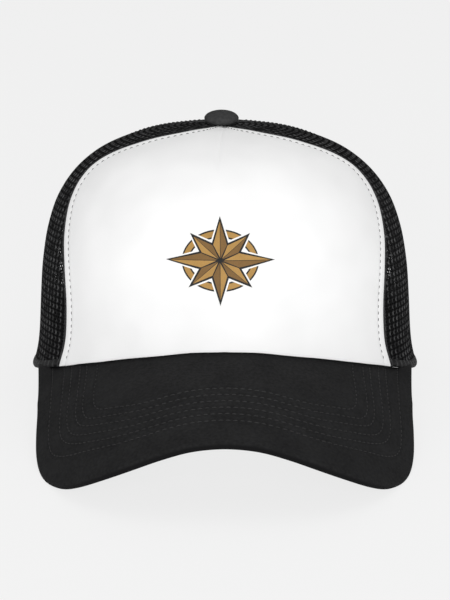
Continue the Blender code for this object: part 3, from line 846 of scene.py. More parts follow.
def hem_strip(name, placing, last, width, mirror, finish, count=121):
    """The rolled hem: a strip up from the rim, thickest a third of the way up."""
    share = np.linspace(0.0, last, count)[None, :]
    upward = np.linspace(0.0, 1.0, 11)[:, None]
    azimuth, climb = placing(share, upward * width / SIDE_LENGTH)
    roll = np.sin(math.pi * upward ** 0.7) ** 0.7
    outer = crown_layer(azimuth, climb, 0.35 * MM - 0.75 * MM * roll)
    points, faces = shell(outer, crown_layer(azimuth, climb, MESH_WALL))
    flat = np.stack([azimuth * RIM_HALF_WIDTH, climb * SIDE_LENGTH], axis=-1).reshape(-1, 2)
    if mirror:
        points, faces = mirrored(points), [part[:, ::-1] for part in faces]
    return add_piece(name, points, faces, finish, np.concatenate([flat, flat]))


def knit_finish():
    """Doubled net: a close knit of crossed waves, with painted highlights as paler dashes on its ribs."""
    material, shader = start_finish("doubled net", Specular_IOR_Level=0.04)
    tree = material.node_tree
    along, up = cloth_axes(tree)
    ribs = (along * (2.0 * math.pi / (0.5 * CELL_WIDTH))).wave()
    loops = (up * (math.pi / ROW_PITCH) + ribs * 3.0).wave()
    fibre = grain(tree, 0.3 * MM, 3.0)
    knit = ribs * loops
    # the pillar term is painted highlight on the ribs of the doubled net
    tone = painted_pillar_highlights(along, up) * 0.55 + knit * 0.22 + fibre * 0.06
    colour = tone.blend((0.0020, 0.0020, 0.0022), (0.075, 0.075, 0.077))
    return dress(material, shader, colour, fibre * 0.2 + 0.45, knit * 0.8 + fibre * 0.2, 0.45 * MM, 0.9)


doubled_net = knit_finish()
for word, mirror in (("right", False), ("left", True)):
    edge_strip(f"front_seam_edge_{word}", side_place, 0, 1.1 * MM, mirror, doubled_net)
    edge_strip(f"side_seam_edge_front_{word}", side_place, 1, 2.2 * MM, mirror, doubled_net)
    edge_strip(f"side_seam_edge_rear_{word}", back_place, 0, 2.2 * MM, mirror, doubled_net)
    edge_strip(f"centre_seam_edge_{word}", back_place, 1, 2.2 * MM, mirror, doubled_net)
    hem_strip(f"side_hem_{word}", side_place, 1.0, 4.2 * MM, mirror, doubled_net)
    hem_strip(f"rear_hem_{word}", back_place, 0.333, 4.2 * MM, mirror, doubled_net)

# %% Stitches of the net seams
def net_seam_stitches(name, placing, edge, inset, mirror):
    """A row of black stitches on a seam's strip, an inset from the edge."""
    rise = np.linspace(0.02, 0.96, 300)
    share = inset / panel_width(placing, rise)
    azimuth, climb = placing(1.0 - share if edge else share, rise)
    path = crown_layer(azimuth, climb, -STRIP_CROWN)
    normals = crown_normal(azimuth, climb)
    if mirror:
        path, normals = mirrored(path), normals * np.array([-1.0, 1.0, 1.0])
    return sew(name, path, normals, 2.8 * MM, 1.9 * MM, 0.18 * MM, black_thread)


for word, mirror in (("right", False), ("left", True)):
    net_seam_stitches(f"side_seam_stitches_front_{word}", side_place, 1, 1.2 * MM, mirror)
    net_seam_stitches(f"side_seam_stitches_rear_{word}", back_place, 0, 1.2 * MM, mirror)
    net_seam_stitches(f"centre_seam_stitches_{word}", back_place, 1, 1.2 * MM, mirror)

# %% [markdown]
# ## The bill
# A stiff board between two layers of twill, bent round the head and sloped down, with six rows of
# stitches that echo its front edge. Its flat outline is a short table, a bend turns the flat into
# a curved sheet, and each row of stitches draws the cloth down into a shallow channel.

# %% Sizes and outline of the bill
BILL_LENGTH = 70.5 * MM
BILL_HALF_SPAN = 97.0 * MM
BILL_WALL = 3.8 * MM
BILL_SLOPE = math.radians(23.5)
BILL_REAR_DROP = 8.5 * MM
BILL_REAR_BEND = 108.0 * MM
BILL_FRONT_BEND = 81.0 * MM
BILL_AZIMUTH = math.radians(73.0)
BILL_TUCK = 2.2 * MM
BILL_SEAM = 0.05 * MM
BILL_TAIL_RISE = 2.6 * MM
TAIL_SWEEP = (0.80, 0.98)
TAIL_REACH = 0.14
BILL_OUTLINE = table("across forward", [
    (0.000, 0.997), (0.150, 1.003), (0.300, 1.018), (0.400, 1.014), (0.500, 0.988), (0.620, 0.926),
    (0.730, 0.842), (0.830, 0.732), (0.910, 0.600), (0.965, 0.480), (0.998, 0.350), (1.010, 0.210),
    (1.002, 0.030), (0.987, -0.150), (0.983, -0.360), (0.990, -0.580), (1.003, -0.810),
])


def bill_bend(forward):
    """Bend radius, tighter towards the front edge."""
    share = np.clip((forward + 0.28 * BILL_LENGTH) / (1.28 * BILL_LENGTH), 0.0, 1.0)
    return BILL_REAR_BEND + (BILL_FRONT_BEND - BILL_REAR_BEND) * share


def bill_sheet(across, forward):
    """The bent sheet: x is bend times a sine, the drop is bend times one less a cosine, then sloped."""
    bend = bill_bend(forward)
    x = bend * np.sin(across / bend)
    drop = bend * (1.0 - np.cos(across / bend))
    y = -RIM_FRONT - forward * math.cos(BILL_SLOPE) + drop * math.sin(BILL_SLOPE)
    behind = np.clip(-forward / BILL_LENGTH, 0.0, None)
    z = FRONT_RISE - forward * math.sin(BILL_SLOPE) - drop * math.cos(BILL_SLOPE)
    return np.stack(np.broadcast_arrays(x, y, z - BILL_REAR_DROP * behind ** 2), axis=-1)


def flat_place(x, y):
    """Across and forward on the flat bill of a point in plan, by twenty rounds of substitution."""
    forward = np.zeros_like(x)
    for _ in range(20):
        bend = bill_bend(forward)
        across = bend * np.arcsin(np.clip(x / bend, -1.0, 1.0))
        drop = bend * (1.0 - np.cos(across / bend))
        forward = (-RIM_FRONT - y + drop * math.sin(BILL_SLOPE)) / math.cos(BILL_SLOPE)
    return across, forward


outline_run = lengths_along(BILL_OUTLINE["across"] * BILL_HALF_SPAN, BILL_OUTLINE["forward"] * BILL_LENGTH)
OUTLINE_SHARE = outline_run / outline_run[-1]


# %% Surface of the bill
def bill_flat(sweep, reach):
    """Across and forward: a straight line from the rim (reach 0) to the outline (1) at each sweep."""
    azimuth = BILL_AZIMUTH * sweep
    rim = crown_layer(azimuth, climb_at(rim_height(azimuth)), BILL_TUCK)
    inner_across, inner_forward = flat_place(rim[..., 0], rim[..., 1])
    share = np.abs(sweep)
    outer_across = np.sign(sweep) * spline(OUTLINE_SHARE, BILL_OUTLINE["across"], share) * BILL_HALF_SPAN
    outer_forward = spline(OUTLINE_SHARE, BILL_OUTLINE["forward"], share) * BILL_LENGTH
    lift = rim_height(azimuth) - BILL_SEAM - bill_sheet(inner_across, inner_forward)[..., 2]
    across = inner_across + (outer_across - inner_across) * reach
    forward = inner_forward + (outer_forward - inner_forward) * reach
    length = np.hypot(outer_across - inner_across, outer_forward - inner_forward)
    return across, forward, length, lift


def bill_top(sweep, reach):
    """Top face: the bent sheet, lifted to the rim by the square of what is left of the reach.

    Its two rear tails rise a little more, so that they close against the hem.
    """
    sweep, reach = np.broadcast_arrays(sweep, reach)
    across, forward, _, lift = bill_flat(sweep, reach)
    point = bill_sheet(across, forward)
    tail = BILL_TAIL_RISE * ease(*TAIL_SWEEP, np.abs(sweep)) * ease(0.0, TAIL_REACH, reach)
    point[..., 2] += lift * (1.0 - reach) ** 2 + tail
    return point


def bill_normal(sweep, reach):
    """Upward normal, from small steps across and forward."""
    step = 1e-3
    low, high = np.clip(sweep - step, -1.0, 1.0), np.clip(sweep + step, -1.0, 1.0)
    near, far = np.clip(reach - step, 0.0, 1.0), np.clip(reach + step, 0.0, 1.0)
    across = bill_top(high, reach) - bill_top(low, reach)
    return unit(np.cross(bill_top(sweep, far) - bill_top(sweep, near), across))


# %% Rows of stitches on the bill
BILL_ROWS = table("front side", [
    (43.0, 36.6), (38.0, 30.8), (33.0, 26.9), (28.0, 21.8), (23.0, 17.3), (18.0, 9.9),
])
BILL_ROWS_COUNT = len(BILL_ROWS["front"])
CHANNEL_DEPTH = 0.45 * MM
CHANNEL_HALF_WIDTH = 0.9 * MM
CHANNEL_START = 0.08
ROW_SMOOTHING = np.hanning(19)[1:-1] / np.hanning(19).sum()


def row_places():
    """Reach of each row at many sweeps: where the distance from the outline equals the row's inset."""
    sweep, reach = np.linspace(-1.0, 1.0, 241), np.linspace(0.0, 1.0, 81)
    across, forward, length, _ = bill_flat(sweep[None, :], reach[:, None])
    share = np.linspace(-1.0, 1.0, 241)
    edge_across, edge_forward, _, _ = bill_flat(share, np.ones_like(share))
    away = np.hypot(across[..., None] - edge_across, forward[..., None] - edge_forward)
    nearest = np.abs(share[away.argmin(axis=-1)])
    away = away.min(axis=-1)
    side = ease(0.36, 0.62, nearest)
    columns = np.arange(len(sweep))
    rows = []
    for row in range(BILL_ROWS_COUNT):
        inset = (BILL_ROWS["front"][row] + (BILL_ROWS["side"][row] - BILL_ROWS["front"][row]) * side) * MM
        level = away - inset
        last = np.clip((level > 0.0).sum(axis=0) - 1, 0, len(reach) - 2)
        low, high = level[last, columns], level[last + 1, columns]
        crossing = reach[last] + (reach[1] - reach[0]) * low / (low - high)
        crossing = np.where(level[0] > 0.0, crossing, level[0] / length.ravel())
        rows.append(np.convolve(np.pad(crossing, 8, mode="edge"), ROW_SMOOTHING, mode="valid"))
    return sweep, np.array(rows)


ROW_SWEEPS, ROW_REACHES = row_places()


def bill_relief(sweep, reach, length):
    """How far the stitched cloth lies below the sheet: a narrow channel at each row."""
    depth = np.zeros(np.broadcast(sweep, reach).shape)
    for row in range(BILL_ROWS_COUNT):
        away = (reach - np.interp(sweep, ROW_SWEEPS, ROW_REACHES[row])) * length
        depth = depth + CHANNEL_DEPTH * np.exp(-(away / CHANNEL_HALF_WIDTH) ** 2)
    return depth * ease(0.0, CHANNEL_START, reach)


# %% The bill's mesh
def bill_shell(columns=301, rows=121, edge_steps=12):
    """One closed form: the top from rim to edge, a half round front edge, and the underside back, with a
    weight of painted shade on the edge and underside.
    """
    sweep = np.linspace(-1.0, 1.0, columns)[None, :]
    length = bill_flat(sweep, np.ones_like(sweep))[2]
    wall = BILL_WALL * (1.0 - 0.5 * ease(0.8, 1.0, np.abs(sweep)))
    half = 0.5 * wall
    out = np.linspace(0.0, 1.0, rows)[:, None] * (length - half) / length
    turn = np.linspace(0.0, math.pi, edge_steps + 1)[1:-1, None]
    round_reach = (length - half + half * np.sin(turn)) / length
    back = np.linspace(1.0, 0.0, rows // 3)[:, None] * (length - half) / length
    reach = np.concatenate([out, round_reach, back])
    down = np.concatenate([0.0 * out, wall * 0.5 * (1.0 - np.cos(turn)), 0.0 * back + wall])
    sweeps = np.broadcast_to(sweep, reach.shape)
    normal = bill_normal(sweeps, np.minimum(reach, 1.0 - half / length))
    top = bill_top(sweeps, reach)
    relief = bill_relief(sweeps, reach, length)
    soft = 0.09 * MM * np.sin(sweeps * 31.0 + 2.0 * np.sin(reach * 9.0)) * ease(0.35, 0.6, np.abs(sweeps))
    relief = np.where(down > 0.5 * wall, 0.5 * relief, relief + soft * (1.0 - reach))
    across, forward, _, _ = bill_flat(sweeps, reach)
    sign = np.where(down > 0.5 * wall, -1.0, 1.0)
    points = top - normal * (down + sign * relief)[..., None]
    total = len(reach)
    index = np.arange(total * columns).reshape(total, columns)
    faces = quads(total, columns)[:, ::-1]
    back_wall = np.stack([index[0, :-1], index[0, 1:], index[-1, 1:], index[-1, :-1]], axis=-1)
    flat = np.stack([across, forward], axis=-1).reshape(-1, 2)
    left_end, right_end = index[:, 0], index[:, -1]
    ends = np.stack([left_end[::-1], right_end])
    # painted shade: full on the rounded front edge, six tenths on the underside, none on top
    edge = ease(0.0, 0.35 * BILL_WALL, down + 0.0 * reach) * (1.0 - 0.4 * (down > 0.99 * wall))
    return points.reshape(-1, 3), [faces, back_wall, ends], flat, edge.ravel()


bill_points, bill_faces, bill_map, bill_edge_shade = bill_shell()
cloth_bill = add_piece("quilted_bill", bill_points, bill_faces, bill_twill, bill_map)
# the edge attribute carries the painted shade of the bill's edge and underside
edge_shade_values = cloth_bill.data.attributes.new("edge", "FLOAT", "POINT")
edge_shade_values.data.foreach_set("value", bill_edge_shade.astype(np.float32))
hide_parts("bill")

# %% Sew the rows
for row in range(BILL_ROWS_COUNT):
    sweep = np.linspace(-0.97, 0.97, 900)
    length = bill_flat(sweep, np.ones_like(sweep))[2]
    reach = np.interp(sweep, ROW_SWEEPS, ROW_REACHES[row])
    seen = reach > 0.01
    sweep, reach, length = sweep[seen], reach[seen], length[seen]
    normals = bill_normal(sweep, reach)
    path = bill_top(sweep, reach) - normals * bill_relief(sweep, reach, length)[:, None]
    sew(f"bill_stitches_{row + 1}", path, normals, 3.0 * MM, 2.3 * MM, 0.21 * MM, black_thread)

# %% [markdown]
# ## The button
# A flat-backed metal dome covered with twill, pressed onto the top. The cloth is pulled tight over
# it and gathered below, so the dome is smooth on top and its rolled rim has faint folds.

# %% The covered button
BUTTON_RADIUS = 7.8 * MM
BUTTON_HEIGHT = 5.2 * MM
FOLDS = 13.0
FOLD_TURN = 0.6
FOLD_DEPTH = 0.012
FOLD_HEIGHT = 0.3
FOLD_SPREAD = 0.2


def covered_button(columns=96, rings=26):
    """A dome: radius times a cosine, height times a sine, above a tucked-in foot with faint folds."""
    seat = crown_surface(np.array(0.0), np.array(1.0 - 1e-6))
    up = np.array([0.0, -math.sin(SEAT_TILT), math.cos(SEAT_TILT)])
    ahead = np.array([0.0, -math.cos(SEAT_TILT), -math.sin(SEAT_TILT)])
    aside = np.array([1.0, 0.0, 0.0])
    turn = np.linspace(0.0, 0.5 * math.pi, rings, endpoint=False)
    foot = np.linspace(0.0, 1.0, 6, endpoint=False)
    radius = np.concatenate([0.80 + 0.20 * np.sin(0.5 * math.pi * foot), np.cos(turn)]) * BUTTON_RADIUS
    height = GAP + BUTTON_HEIGHT * np.concatenate([0.34 * foot, 0.34 + 0.66 * np.sin(turn)])
    angle = np.linspace(0.0, 2.0 * math.pi, columns, endpoint=False)
    near_foot = np.exp(-((height / BUTTON_HEIGHT - FOLD_HEIGHT) / FOLD_SPREAD) ** 2)[:, None]
    folds = 1.0 + FOLD_DEPTH * np.sin(FOLDS * angle + FOLD_TURN) * near_foot
    across = (radius[:, None] * folds * np.cos(angle))[..., None]
    deep = (radius[:, None] * folds * np.sin(angle))[..., None]
    loops = seat + up * height[:, None, None] + across * aside - deep * ahead
    points = np.concatenate([loops.reshape(-1, 3), (seat + up * (GAP + BUTTON_HEIGHT))[None, :]])
    index = (len(height) - 1) * columns + np.arange(columns)
    cap = np.stack([index, np.roll(index, -1), np.full(columns, len(points) - 1)], axis=-1)
    floor = np.arange(columns)[::-1][None, :]
    flat = np.concatenate([np.stack([across[..., 0], deep[..., 0]], axis=-1).reshape(-1, 2), [[0.0, 0.0]]])
    return points, [quads(len(height), columns, closed=True), cap, floor], flat


button_points, button_faces, button_map = covered_button()
top_button = add_piece("covered_button", button_points, button_faces, button_twill, button_map)
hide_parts("button")

# %% [markdown]
# ## The sweatband
# A folded band of soft cloth inside the rim. It is crowned where it is padded, and one row of
# stitches near its upper edge keeps it flat.

# %% The sweatband
SWEATBAND_HEIGHT = 32.0 * MM
SWEATBAND_WALL = 1.5 * MM
BINDING_WALL = 0.7 * MM
BINDING_DEPTH = 9.0 * MM
STRAP_HEIGHT = 17.0 * MM
STRAP_WALL = 1.4 * MM
STRAP_LAP_WALL = 1.2 * MM
STRAP_LIFT = 4.0 * MM
STRAP_LAP_HALF = 30.0 * MM
STRAP_TUCK = 13.0 * MM
STRAP_DEPTH = MESH_WALL + 2.0 * GAP + BINDING_WALL


def band_depth(azimuth):
    """Depth of the band's outer face: behind foam, then net, then binding and strap."""
    turn = turn_from_front(azimuth)
    seam = front_seam_azimuth(climb_at(0.5 * SWEATBAND_HEIGHT))
    behind_net = ease(seam + math.radians(2), seam + math.radians(12), turn)
    strap_end = across_at(ARCH_HALF_WIDTH + STRAP_TUCK, 0.0)
    behind_strap = ease(strap_end - math.radians(16), strap_end - math.radians(2), turn)
    wall = FOAM_WALL + (MESH_WALL - FOAM_WALL) * behind_net
    return wall + GAP + (STRAP_DEPTH + STRAP_WALL - MESH_WALL) * behind_strap


def band_place(azimuth, rise):
    """Climb of the band at a share of its height above the rim."""
    return climb_at(rim_height(azimuth) + GAP + SWEATBAND_HEIGHT * rise)


def sweatband(columns=301, rows=25):
    """The band: a shell whose inner face is fuller in the middle and thin at its folded edges."""
    end = float(across_at(ARCH_HALF_WIDTH + GAP, 0.0))
    azimuth = np.linspace(-end, end, columns)[None, :]
    rise = np.linspace(0.0, 1.0, rows)[:, None]
    climb = band_place(azimuth, rise)
    azimuth = azimuth + 0.0 * rise
    depth = band_depth(azimuth)
    full = 0.55 + 0.45 * np.sin(math.pi * rise) ** 0.4 - 0.22 * np.exp(-((rise - 0.88) / 0.03) ** 2)
    ripple = 0.06 * MM * np.sin(azimuth * 37.0 + 3.0 * rise) * np.sin(math.pi * rise)
    inner = crown_layer(azimuth, climb, depth + SWEATBAND_WALL * full + ripple)
    flat = np.stack([azimuth * RIM_BACK, climb * SIDE_LENGTH], axis=-1).reshape(-1, 2)
    points, faces = shell(crown_layer(azimuth, climb, depth), inner)
    return add_piece("cloth_sweatband", points, faces, band_twill, np.concatenate([flat, flat]))


cloth_sweatband = sweatband()
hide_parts("sweatband")

band_azimuth = np.linspace(-2.45, 2.45, 900)
band_climb = band_place(band_azimuth, 0.88)
band_inner = band_depth(band_azimuth) + SWEATBAND_WALL * 0.72
band_path = crown_layer(band_azimuth, band_climb, band_inner)
band_normal = -crown_normal(band_azimuth, band_climb)
sew("sweatband_stitches", band_path, band_normal, 3.2 * MM, 2.3 * MM, 0.2 * MM, black_thread)

# %% [markdown]
# ## The half-moon's tape
# A bias tape folded over the cut edge of the net and sewn through. Its section is a U with soft
# corners, carried round the arch; a row of stitches runs near its inner edge on the outside.

# %% The arch's tape
def arch_points(angle, outset=0.0):
    """Azimuth and climb on the arch's ellipse at an angle from its foot, moved outward."""
    offset = (ARCH_HALF_WIDTH + outset) * np.cos(angle)
    height = (ARCH_HEIGHT + outset) * np.sin(angle)
    return across_at(offset, height), climb_at(height)


def tape_section(steps=7):
    """Outset and depth round the U: out along the face, a rounded fold, back along the inside."""
    outside, inside = GAP + BINDING_WALL, MESH_WALL + GAP
    middle = 0.5 * (inside + BINDING_WALL - outside)
    half = 0.5 * (inside + BINDING_WALL + outside)
    turn = np.linspace(-0.5 * math.pi, 0.5 * math.pi, 11)
    fold_outset = -outside + half * 0.55 * (1.0 - np.cos(turn))
    fold_depth = middle + half * np.sin(turn)
    run = np.linspace(half * 0.55 - outside, BINDING_DEPTH, steps)[1:]
    face_depth = -outside + 0.25 * BINDING_WALL * np.exp(-((run - 6.8 * MM) / (0.7 * MM)) ** 2)
    face_depth = face_depth + 0.35 * BINDING_WALL * ease(BINDING_DEPTH - 1.0 * MM, BINDING_DEPTH, run)
    slot_outset = np.linspace(BINDING_DEPTH, -GAP, steps)
    outset = np.concatenate([run, slot_outset, slot_outset[::-1], run[::-1], fold_outset[::-1]])
    depth = np.concatenate([face_depth, 0.0 * slot_outset - GAP, 0.0 * slot_outset + inside,
                            0.0 * run + inside + BINDING_WALL, fold_depth[::-1]])
    return outset, depth


def arch_tape(count=145):
    """The section carried round the arch from one foot to the other."""
    outset, depth = tape_section(15)
    angles = np.linspace(0.0, math.pi, count)[:, None]
    azimuth, climb = arch_points(angles, outset[None, :])
    loops = crown_layer(azimuth, climb, np.broadcast_to(depth, azimuth.shape))[:, ::-1]
    run = angles * 0.5 * (ARCH_HALF_WIDTH + ARCH_HEIGHT)
    around = lengths_along(outset, depth)
    flat = np.stack([run + 0.0 * around, 0.0 * run + around[::-1]], axis=-1).reshape(-1, 2)
    points, faces = tube(loops)
    return add_piece("arch_tape", points, faces, tape_twill, flat)


bound_arch = arch_tape()
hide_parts("arch_binding")

tape_angle = np.linspace(0.02, math.pi - 0.02, 500)
tape_azimuth, tape_climb = arch_points(tape_angle, 6.8 * MM)
tape_path = crown_layer(tape_azimuth, tape_climb, -GAP - 0.75 * BINDING_WALL)
tape_normal = crown_normal(tape_azimuth, tape_climb)
sew("arch_tape_stitches", tape_path, tape_normal, 2.9 * MM, 2.1 * MM, 0.19 * MM, black_thread)

# %% [markdown]
# ## The snap strap
# Two moulded straps that lap at the middle of the opening: the outer one has a row of round holes
# and the inner one a row of pegs that stand through them. The outer strap is cut from cells, each a
# rectangle with a ring of points round its hole; it is all one closed form.

# %% Places on the strap
STRAP_END = float(across_at(ARCH_HALF_WIDTH + STRAP_TUCK, 0.0))
STRAP_CLIMB = 0.5 * (climb_at(STRAP_LIFT) + climb_at(STRAP_LIFT + STRAP_HEIGHT))
strap_turns = np.linspace(STRAP_END, 2.0 * math.pi - STRAP_END, 401)
strap_line = crown_layer(strap_turns, np.full(401, STRAP_CLIMB), STRAP_DEPTH)
strap_run = lengths_along(strap_line[:, 0], strap_line[:, 1], strap_line[:, 2])
STRAP_LENGTH = strap_run[-1]
print("strap length along its curve, mm:", round(STRAP_LENGTH / MM, 1))


def strap_point(along, up, depth):
    """A place on the strap from a length along it, a height up it and a depth."""
    azimuth = np.interp(along, strap_run, strap_turns)
    height = STRAP_LIFT + np.clip(up, 0.0, STRAP_HEIGHT)
    return crown_layer(azimuth, climb_at(height), depth)


# %% The outer strap with its holes
HOLE_PITCH = 6.2 * MM
HOLE_RADIUS = 1.9 * MM
PEG_COUNT = 7
LAP_START = 0.5 * STRAP_LENGTH - STRAP_LAP_HALF


def holed_strap(columns, first, outer_depth, inner_depth, name):
    """Cells with a round hole: six rings of points step from a rectangle to a circle, then through."""
    angle = np.linspace(0.0, 2.0 * math.pi, 32, endpoint=False) + math.pi / 32.0
    square = np.stack([np.cos(angle), np.sin(angle)], axis=-1)
    square = square / np.abs(square).max(axis=-1, keepdims=True)
    box = square * np.array([0.5 * HOLE_PITCH, 0.5 * STRAP_HEIGHT])
    circle = np.stack([np.cos(angle), np.sin(angle)], axis=-1) * HOLE_RADIUS
    share = np.linspace(0.0, 1.0, 6)[:, None, None]
    ring = box * (1.0 - share) + circle * share
    middle = first + HOLE_PITCH * np.arange(columns)
    along = middle[:, None, None] + ring[..., 0]
    up = 0.5 * STRAP_HEIGHT + 0.0 * middle[:, None, None] + ring[..., 1]
    soft = 0.35 * MM * (np.abs(up / STRAP_HEIGHT - 0.5) * 2.0) ** 8
    outer = strap_point(along, up, outer_depth + soft)
    inner = strap_point(along, up, inner_depth - soft)[:, ::-1]
    points = np.concatenate([outer, inner], axis=1)
    rings, sides = points.shape[1:3]
    one = quads(rings, sides, closed=True)
    faces = (one + (np.arange(columns) * rings * sides)[:, None, None]).reshape(-1, 4)
    index = np.arange(columns * rings * sides).reshape(columns, rings, sides)
    a, b = index[:, 0], np.roll(index[:, 0], -1, axis=1)
    c, d = np.roll(index[:, -1], -1, axis=1), index[:, -1]
    rim = np.stack([a, d, c, b], axis=-1)
    flat = np.concatenate([np.stack([along, up], axis=-1), np.stack([along, up], axis=-1)[:, ::-1]], axis=1)
    return points.reshape(-1, 3), [faces, rim.reshape(-1, 4)], flat.reshape(-1, 2)


holes = holed_strap(PEG_COUNT + 2, LAP_START + 0.5 * HOLE_PITCH, STRAP_DEPTH - STRAP_LAP_WALL,
                    STRAP_DEPTH - 0.05 * MM, "holes")


# %% Plain lengths of strap, and the pegs
def strap_length(start, end, outer_depth, inner_depth, columns=61, rows=15):
    """A plain length of strap: a shell whose long edges are rounded."""
    along = np.linspace(start, end, columns)[None, :]
    up = np.linspace(0.0, STRAP_HEIGHT, rows)[:, None] + 0.0 * along
    along = along + 0.0 * up
    soft = 0.35 * MM * (np.abs(up / STRAP_HEIGHT - 0.5) * 2.0) ** 8
    outer = strap_point(along, up, outer_depth + soft)
    points, faces = shell(outer, strap_point(along, up, inner_depth - soft))
    flat = np.stack([along, up], axis=-1).reshape(-1, 2)
    return points, faces, np.concatenate([flat, flat])


def pegs(count, first):
    """Round pegs with domed heads, in one array: radius and depth along a short profile."""
    profile = table("radius depth", [
        (1.45, 0.10), (1.45, -1.30), (1.75, -1.55), (1.72, -1.80), (1.30, -2.05), (0.60, -2.15),
    ])
    angle = np.linspace(0.0, 2.0 * math.pi, 24, endpoint=False)
    radius = profile["radius"][:, None] * MM
    along = (first + HOLE_PITCH * np.arange(count))[:, None, None] + radius * np.cos(angle)
    up = 0.5 * STRAP_HEIGHT + radius * np.sin(angle) + 0.0 * along
    depth = STRAP_DEPTH + profile["depth"][:, None] * MM + 0.0 * along
    points = strap_point(along, up, depth)
    rings, sides = points.shape[1:3]
    step = (np.arange(count) * rings * sides)[:, None, None]
    ends = np.stack([np.arange(sides)[::-1], (rings - 1) * sides + np.arange(sides)])
    face_sets = [(quads(rings, sides, closed=True) + step).reshape(-1, 4), (ends + step).reshape(-1, sides)]
    return points.reshape(-1, 3), face_sets, np.stack([along, up], axis=-1).reshape(-1, 2)


def join_forms(*forms):
    """Several forms as one: points and maps in a row, and faces renumbered."""
    points, face_sets, maps, start = [], [], [], 0
    for form_points, form_faces, form_map in forms:
        points.append(form_points)
        maps.append(form_map)
        face_sets += [faces + start for faces in form_faces]
        start += len(form_points)
    return np.concatenate(points), face_sets, np.concatenate(maps)


inner_strap = strap_length(0.0, STRAP_LENGTH, STRAP_DEPTH + 0.02 * MM, STRAP_DEPTH + STRAP_WALL, 161)
tongue_start = LAP_START + (PEG_COUNT + 2) * HOLE_PITCH
tongue = strap_length(tongue_start + 0.05 * MM, tongue_start + 5.0 * MM, STRAP_DEPTH - STRAP_LAP_WALL,
                      STRAP_DEPTH - 0.05 * MM, 9)
strap_form = join_forms(inner_strap, holes, tongue, pegs(PEG_COUNT, LAP_START + 1.5 * HOLE_PITCH))
snap_strap = add_piece("snap_closure", *strap_form[:2], moulded_plastic, strap_form[2], sharp=35.0)
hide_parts("snap_strap")

# %% [markdown]
# ## The front's print
# The crown carries a printed sign about the size of a matchbox in tan with a black edge and a white
# keyline. Here it is a compass rose, stretched sideways: eight points, each in two tones, over a
# ring. The star is worked out flat. An outline grows by an even width when each corner moves along
# the sum of its two edge normals over one plus their product. The ink then lies on the foam.

# %% The flat star
PRINT_CENTRE = (-2.0 * MM, 0.362)
STAR = table("angle radius", [
    (0.0, 25.0), (20.0, 9.4), (38.0, 17.0), (62.0, 7.4), (90.0, 17.5), (118.0, 7.4), (142.0, 17.0),
    (160.0, 9.4), (180.0, 25.0), (200.0, 9.4), (218.0, 17.0), (242.0, 7.4), (270.0, 17.5),
    (298.0, 7.4), (322.0, 17.0), (340.0, 9.4),
])
RING_WIDTH = 16.5 * MM
RING_HEIGHT = 11.5 * MM


def star_corners():
    """The star's sixteen corners: radius times cosine and sine of the angle."""
    angle = np.radians(STAR["angle"])
    return np.stack([np.cos(angle), np.sin(angle)], axis=-1) * STAR["radius"][:, None] * MM


def grown(corners, width):
    """An outline moved outward by a width, corner by corner."""
    along = unit(np.roll(corners, -1, axis=0) - corners)
    normal = np.stack([along[:, 1], -along[:, 0]], axis=-1)
    before = np.roll(normal, 1, axis=0)
    product = (normal * before).sum(axis=-1, keepdims=True)
    return corners + width * (normal + before) / np.maximum(1.0 + product, 0.25)


def print_surface(flat, lift):
    """A flat place of the print, laid on the foam: x stays x, and y goes up the front."""
    climb = PRINT_CENTRE[1] + flat[..., 1] / SIDE_LENGTH
    azimuth = (PRINT_CENTRE[0] + flat[..., 0]) / (RIM_FRONT * 0.86)
    return crown_layer(azimuth, climb, -lift)


def ink(name, corners, lift, finish, steps=14, rings=14):
    """A filled outline as thin ink: rings of points shrink from the outline to its middle."""
    middle = corners.mean(axis=0)
    share = np.linspace(0.0, 1.0, steps, endpoint=False)[None, :, None]
    after = np.roll(corners, -1, axis=0)
    outline = (corners[:, None] + (after - corners)[:, None] * share).reshape(-1, 2)
    shrink = np.linspace(1.0, 0.04, rings)[:, None, None]
    flat = middle + (outline - middle) * shrink
    upper = print_surface(flat, lift)
    lower = print_surface(flat[:1], -0.05 * MM)
    points = np.concatenate([lower, upper])
    count, size = points.shape[:2]
    ends = np.stack([np.arange(size)[::-1], (count - 1) * size + np.arange(size)])
    return add_piece(name, points.reshape(-1, 3), [quads(count, size, closed=True), ends], finish)


# %% Ink the star and its ring
def ring_ink(name, half_band, lift, finish, count=96):
    """An oval band of ink: across its width, points step from the outer edge over to the inner one."""
    angle = np.linspace(0.0, 2.0 * math.pi, count, endpoint=False)[:, None]
    across = np.array([1.0, 1.0, 0.5, 0.0, -0.5, -1.0, -1.0]) * half_band
    raised = np.array([-0.05 * MM, lift, lift, lift, lift, lift, -0.05 * MM])
    aside, above = (RING_WIDTH + across) * np.cos(angle), (RING_HEIGHT + across) * np.sin(angle)
    flat = np.stack([aside, above], axis=-1)
    points = print_surface(flat, np.broadcast_to(raised, flat.shape[:2]))
    rows, columns = points.shape[:2]
    index = np.arange(rows * columns).reshape(rows, columns)
    after = np.roll(index, -1, axis=0)
    faces = np.stack([index, after, np.roll(after, -1, axis=1), np.roll(index, -1, axis=1)], axis=-1)
    return add_piece(name, points.reshape(-1, 3), [faces.reshape(-1, 4)], finish)


ring_ink("print_ring_keyline", 2.6 * MM, 0.06 * MM, white_ink)
ring_ink("print_ring_outline", 1.9 * MM, 0.10 * MM, black_ink)
ring_ink("print_ring", 1.2 * MM, 0.14 * MM, tan_ink)
star = star_corners()
ink("print_keyline", grown(star, 1.5 * MM), 0.18 * MM, white_ink)
ink("print_outline", grown(star, 0.75 * MM), 0.23 * MM, black_ink)
for corner in range(16):
    after = (corner + 1) % 16
    facet = np.stack([0.04 * star[corner], star[corner], star[after]])
    facet = facet.mean(axis=0) + (facet - facet.mean(axis=0)) * 0.92
    ink(f"print_facet_{corner + 1}", facet, 0.28 * MM, tan_ink if corner % 2 == 0 else brown_ink, 8, 8)

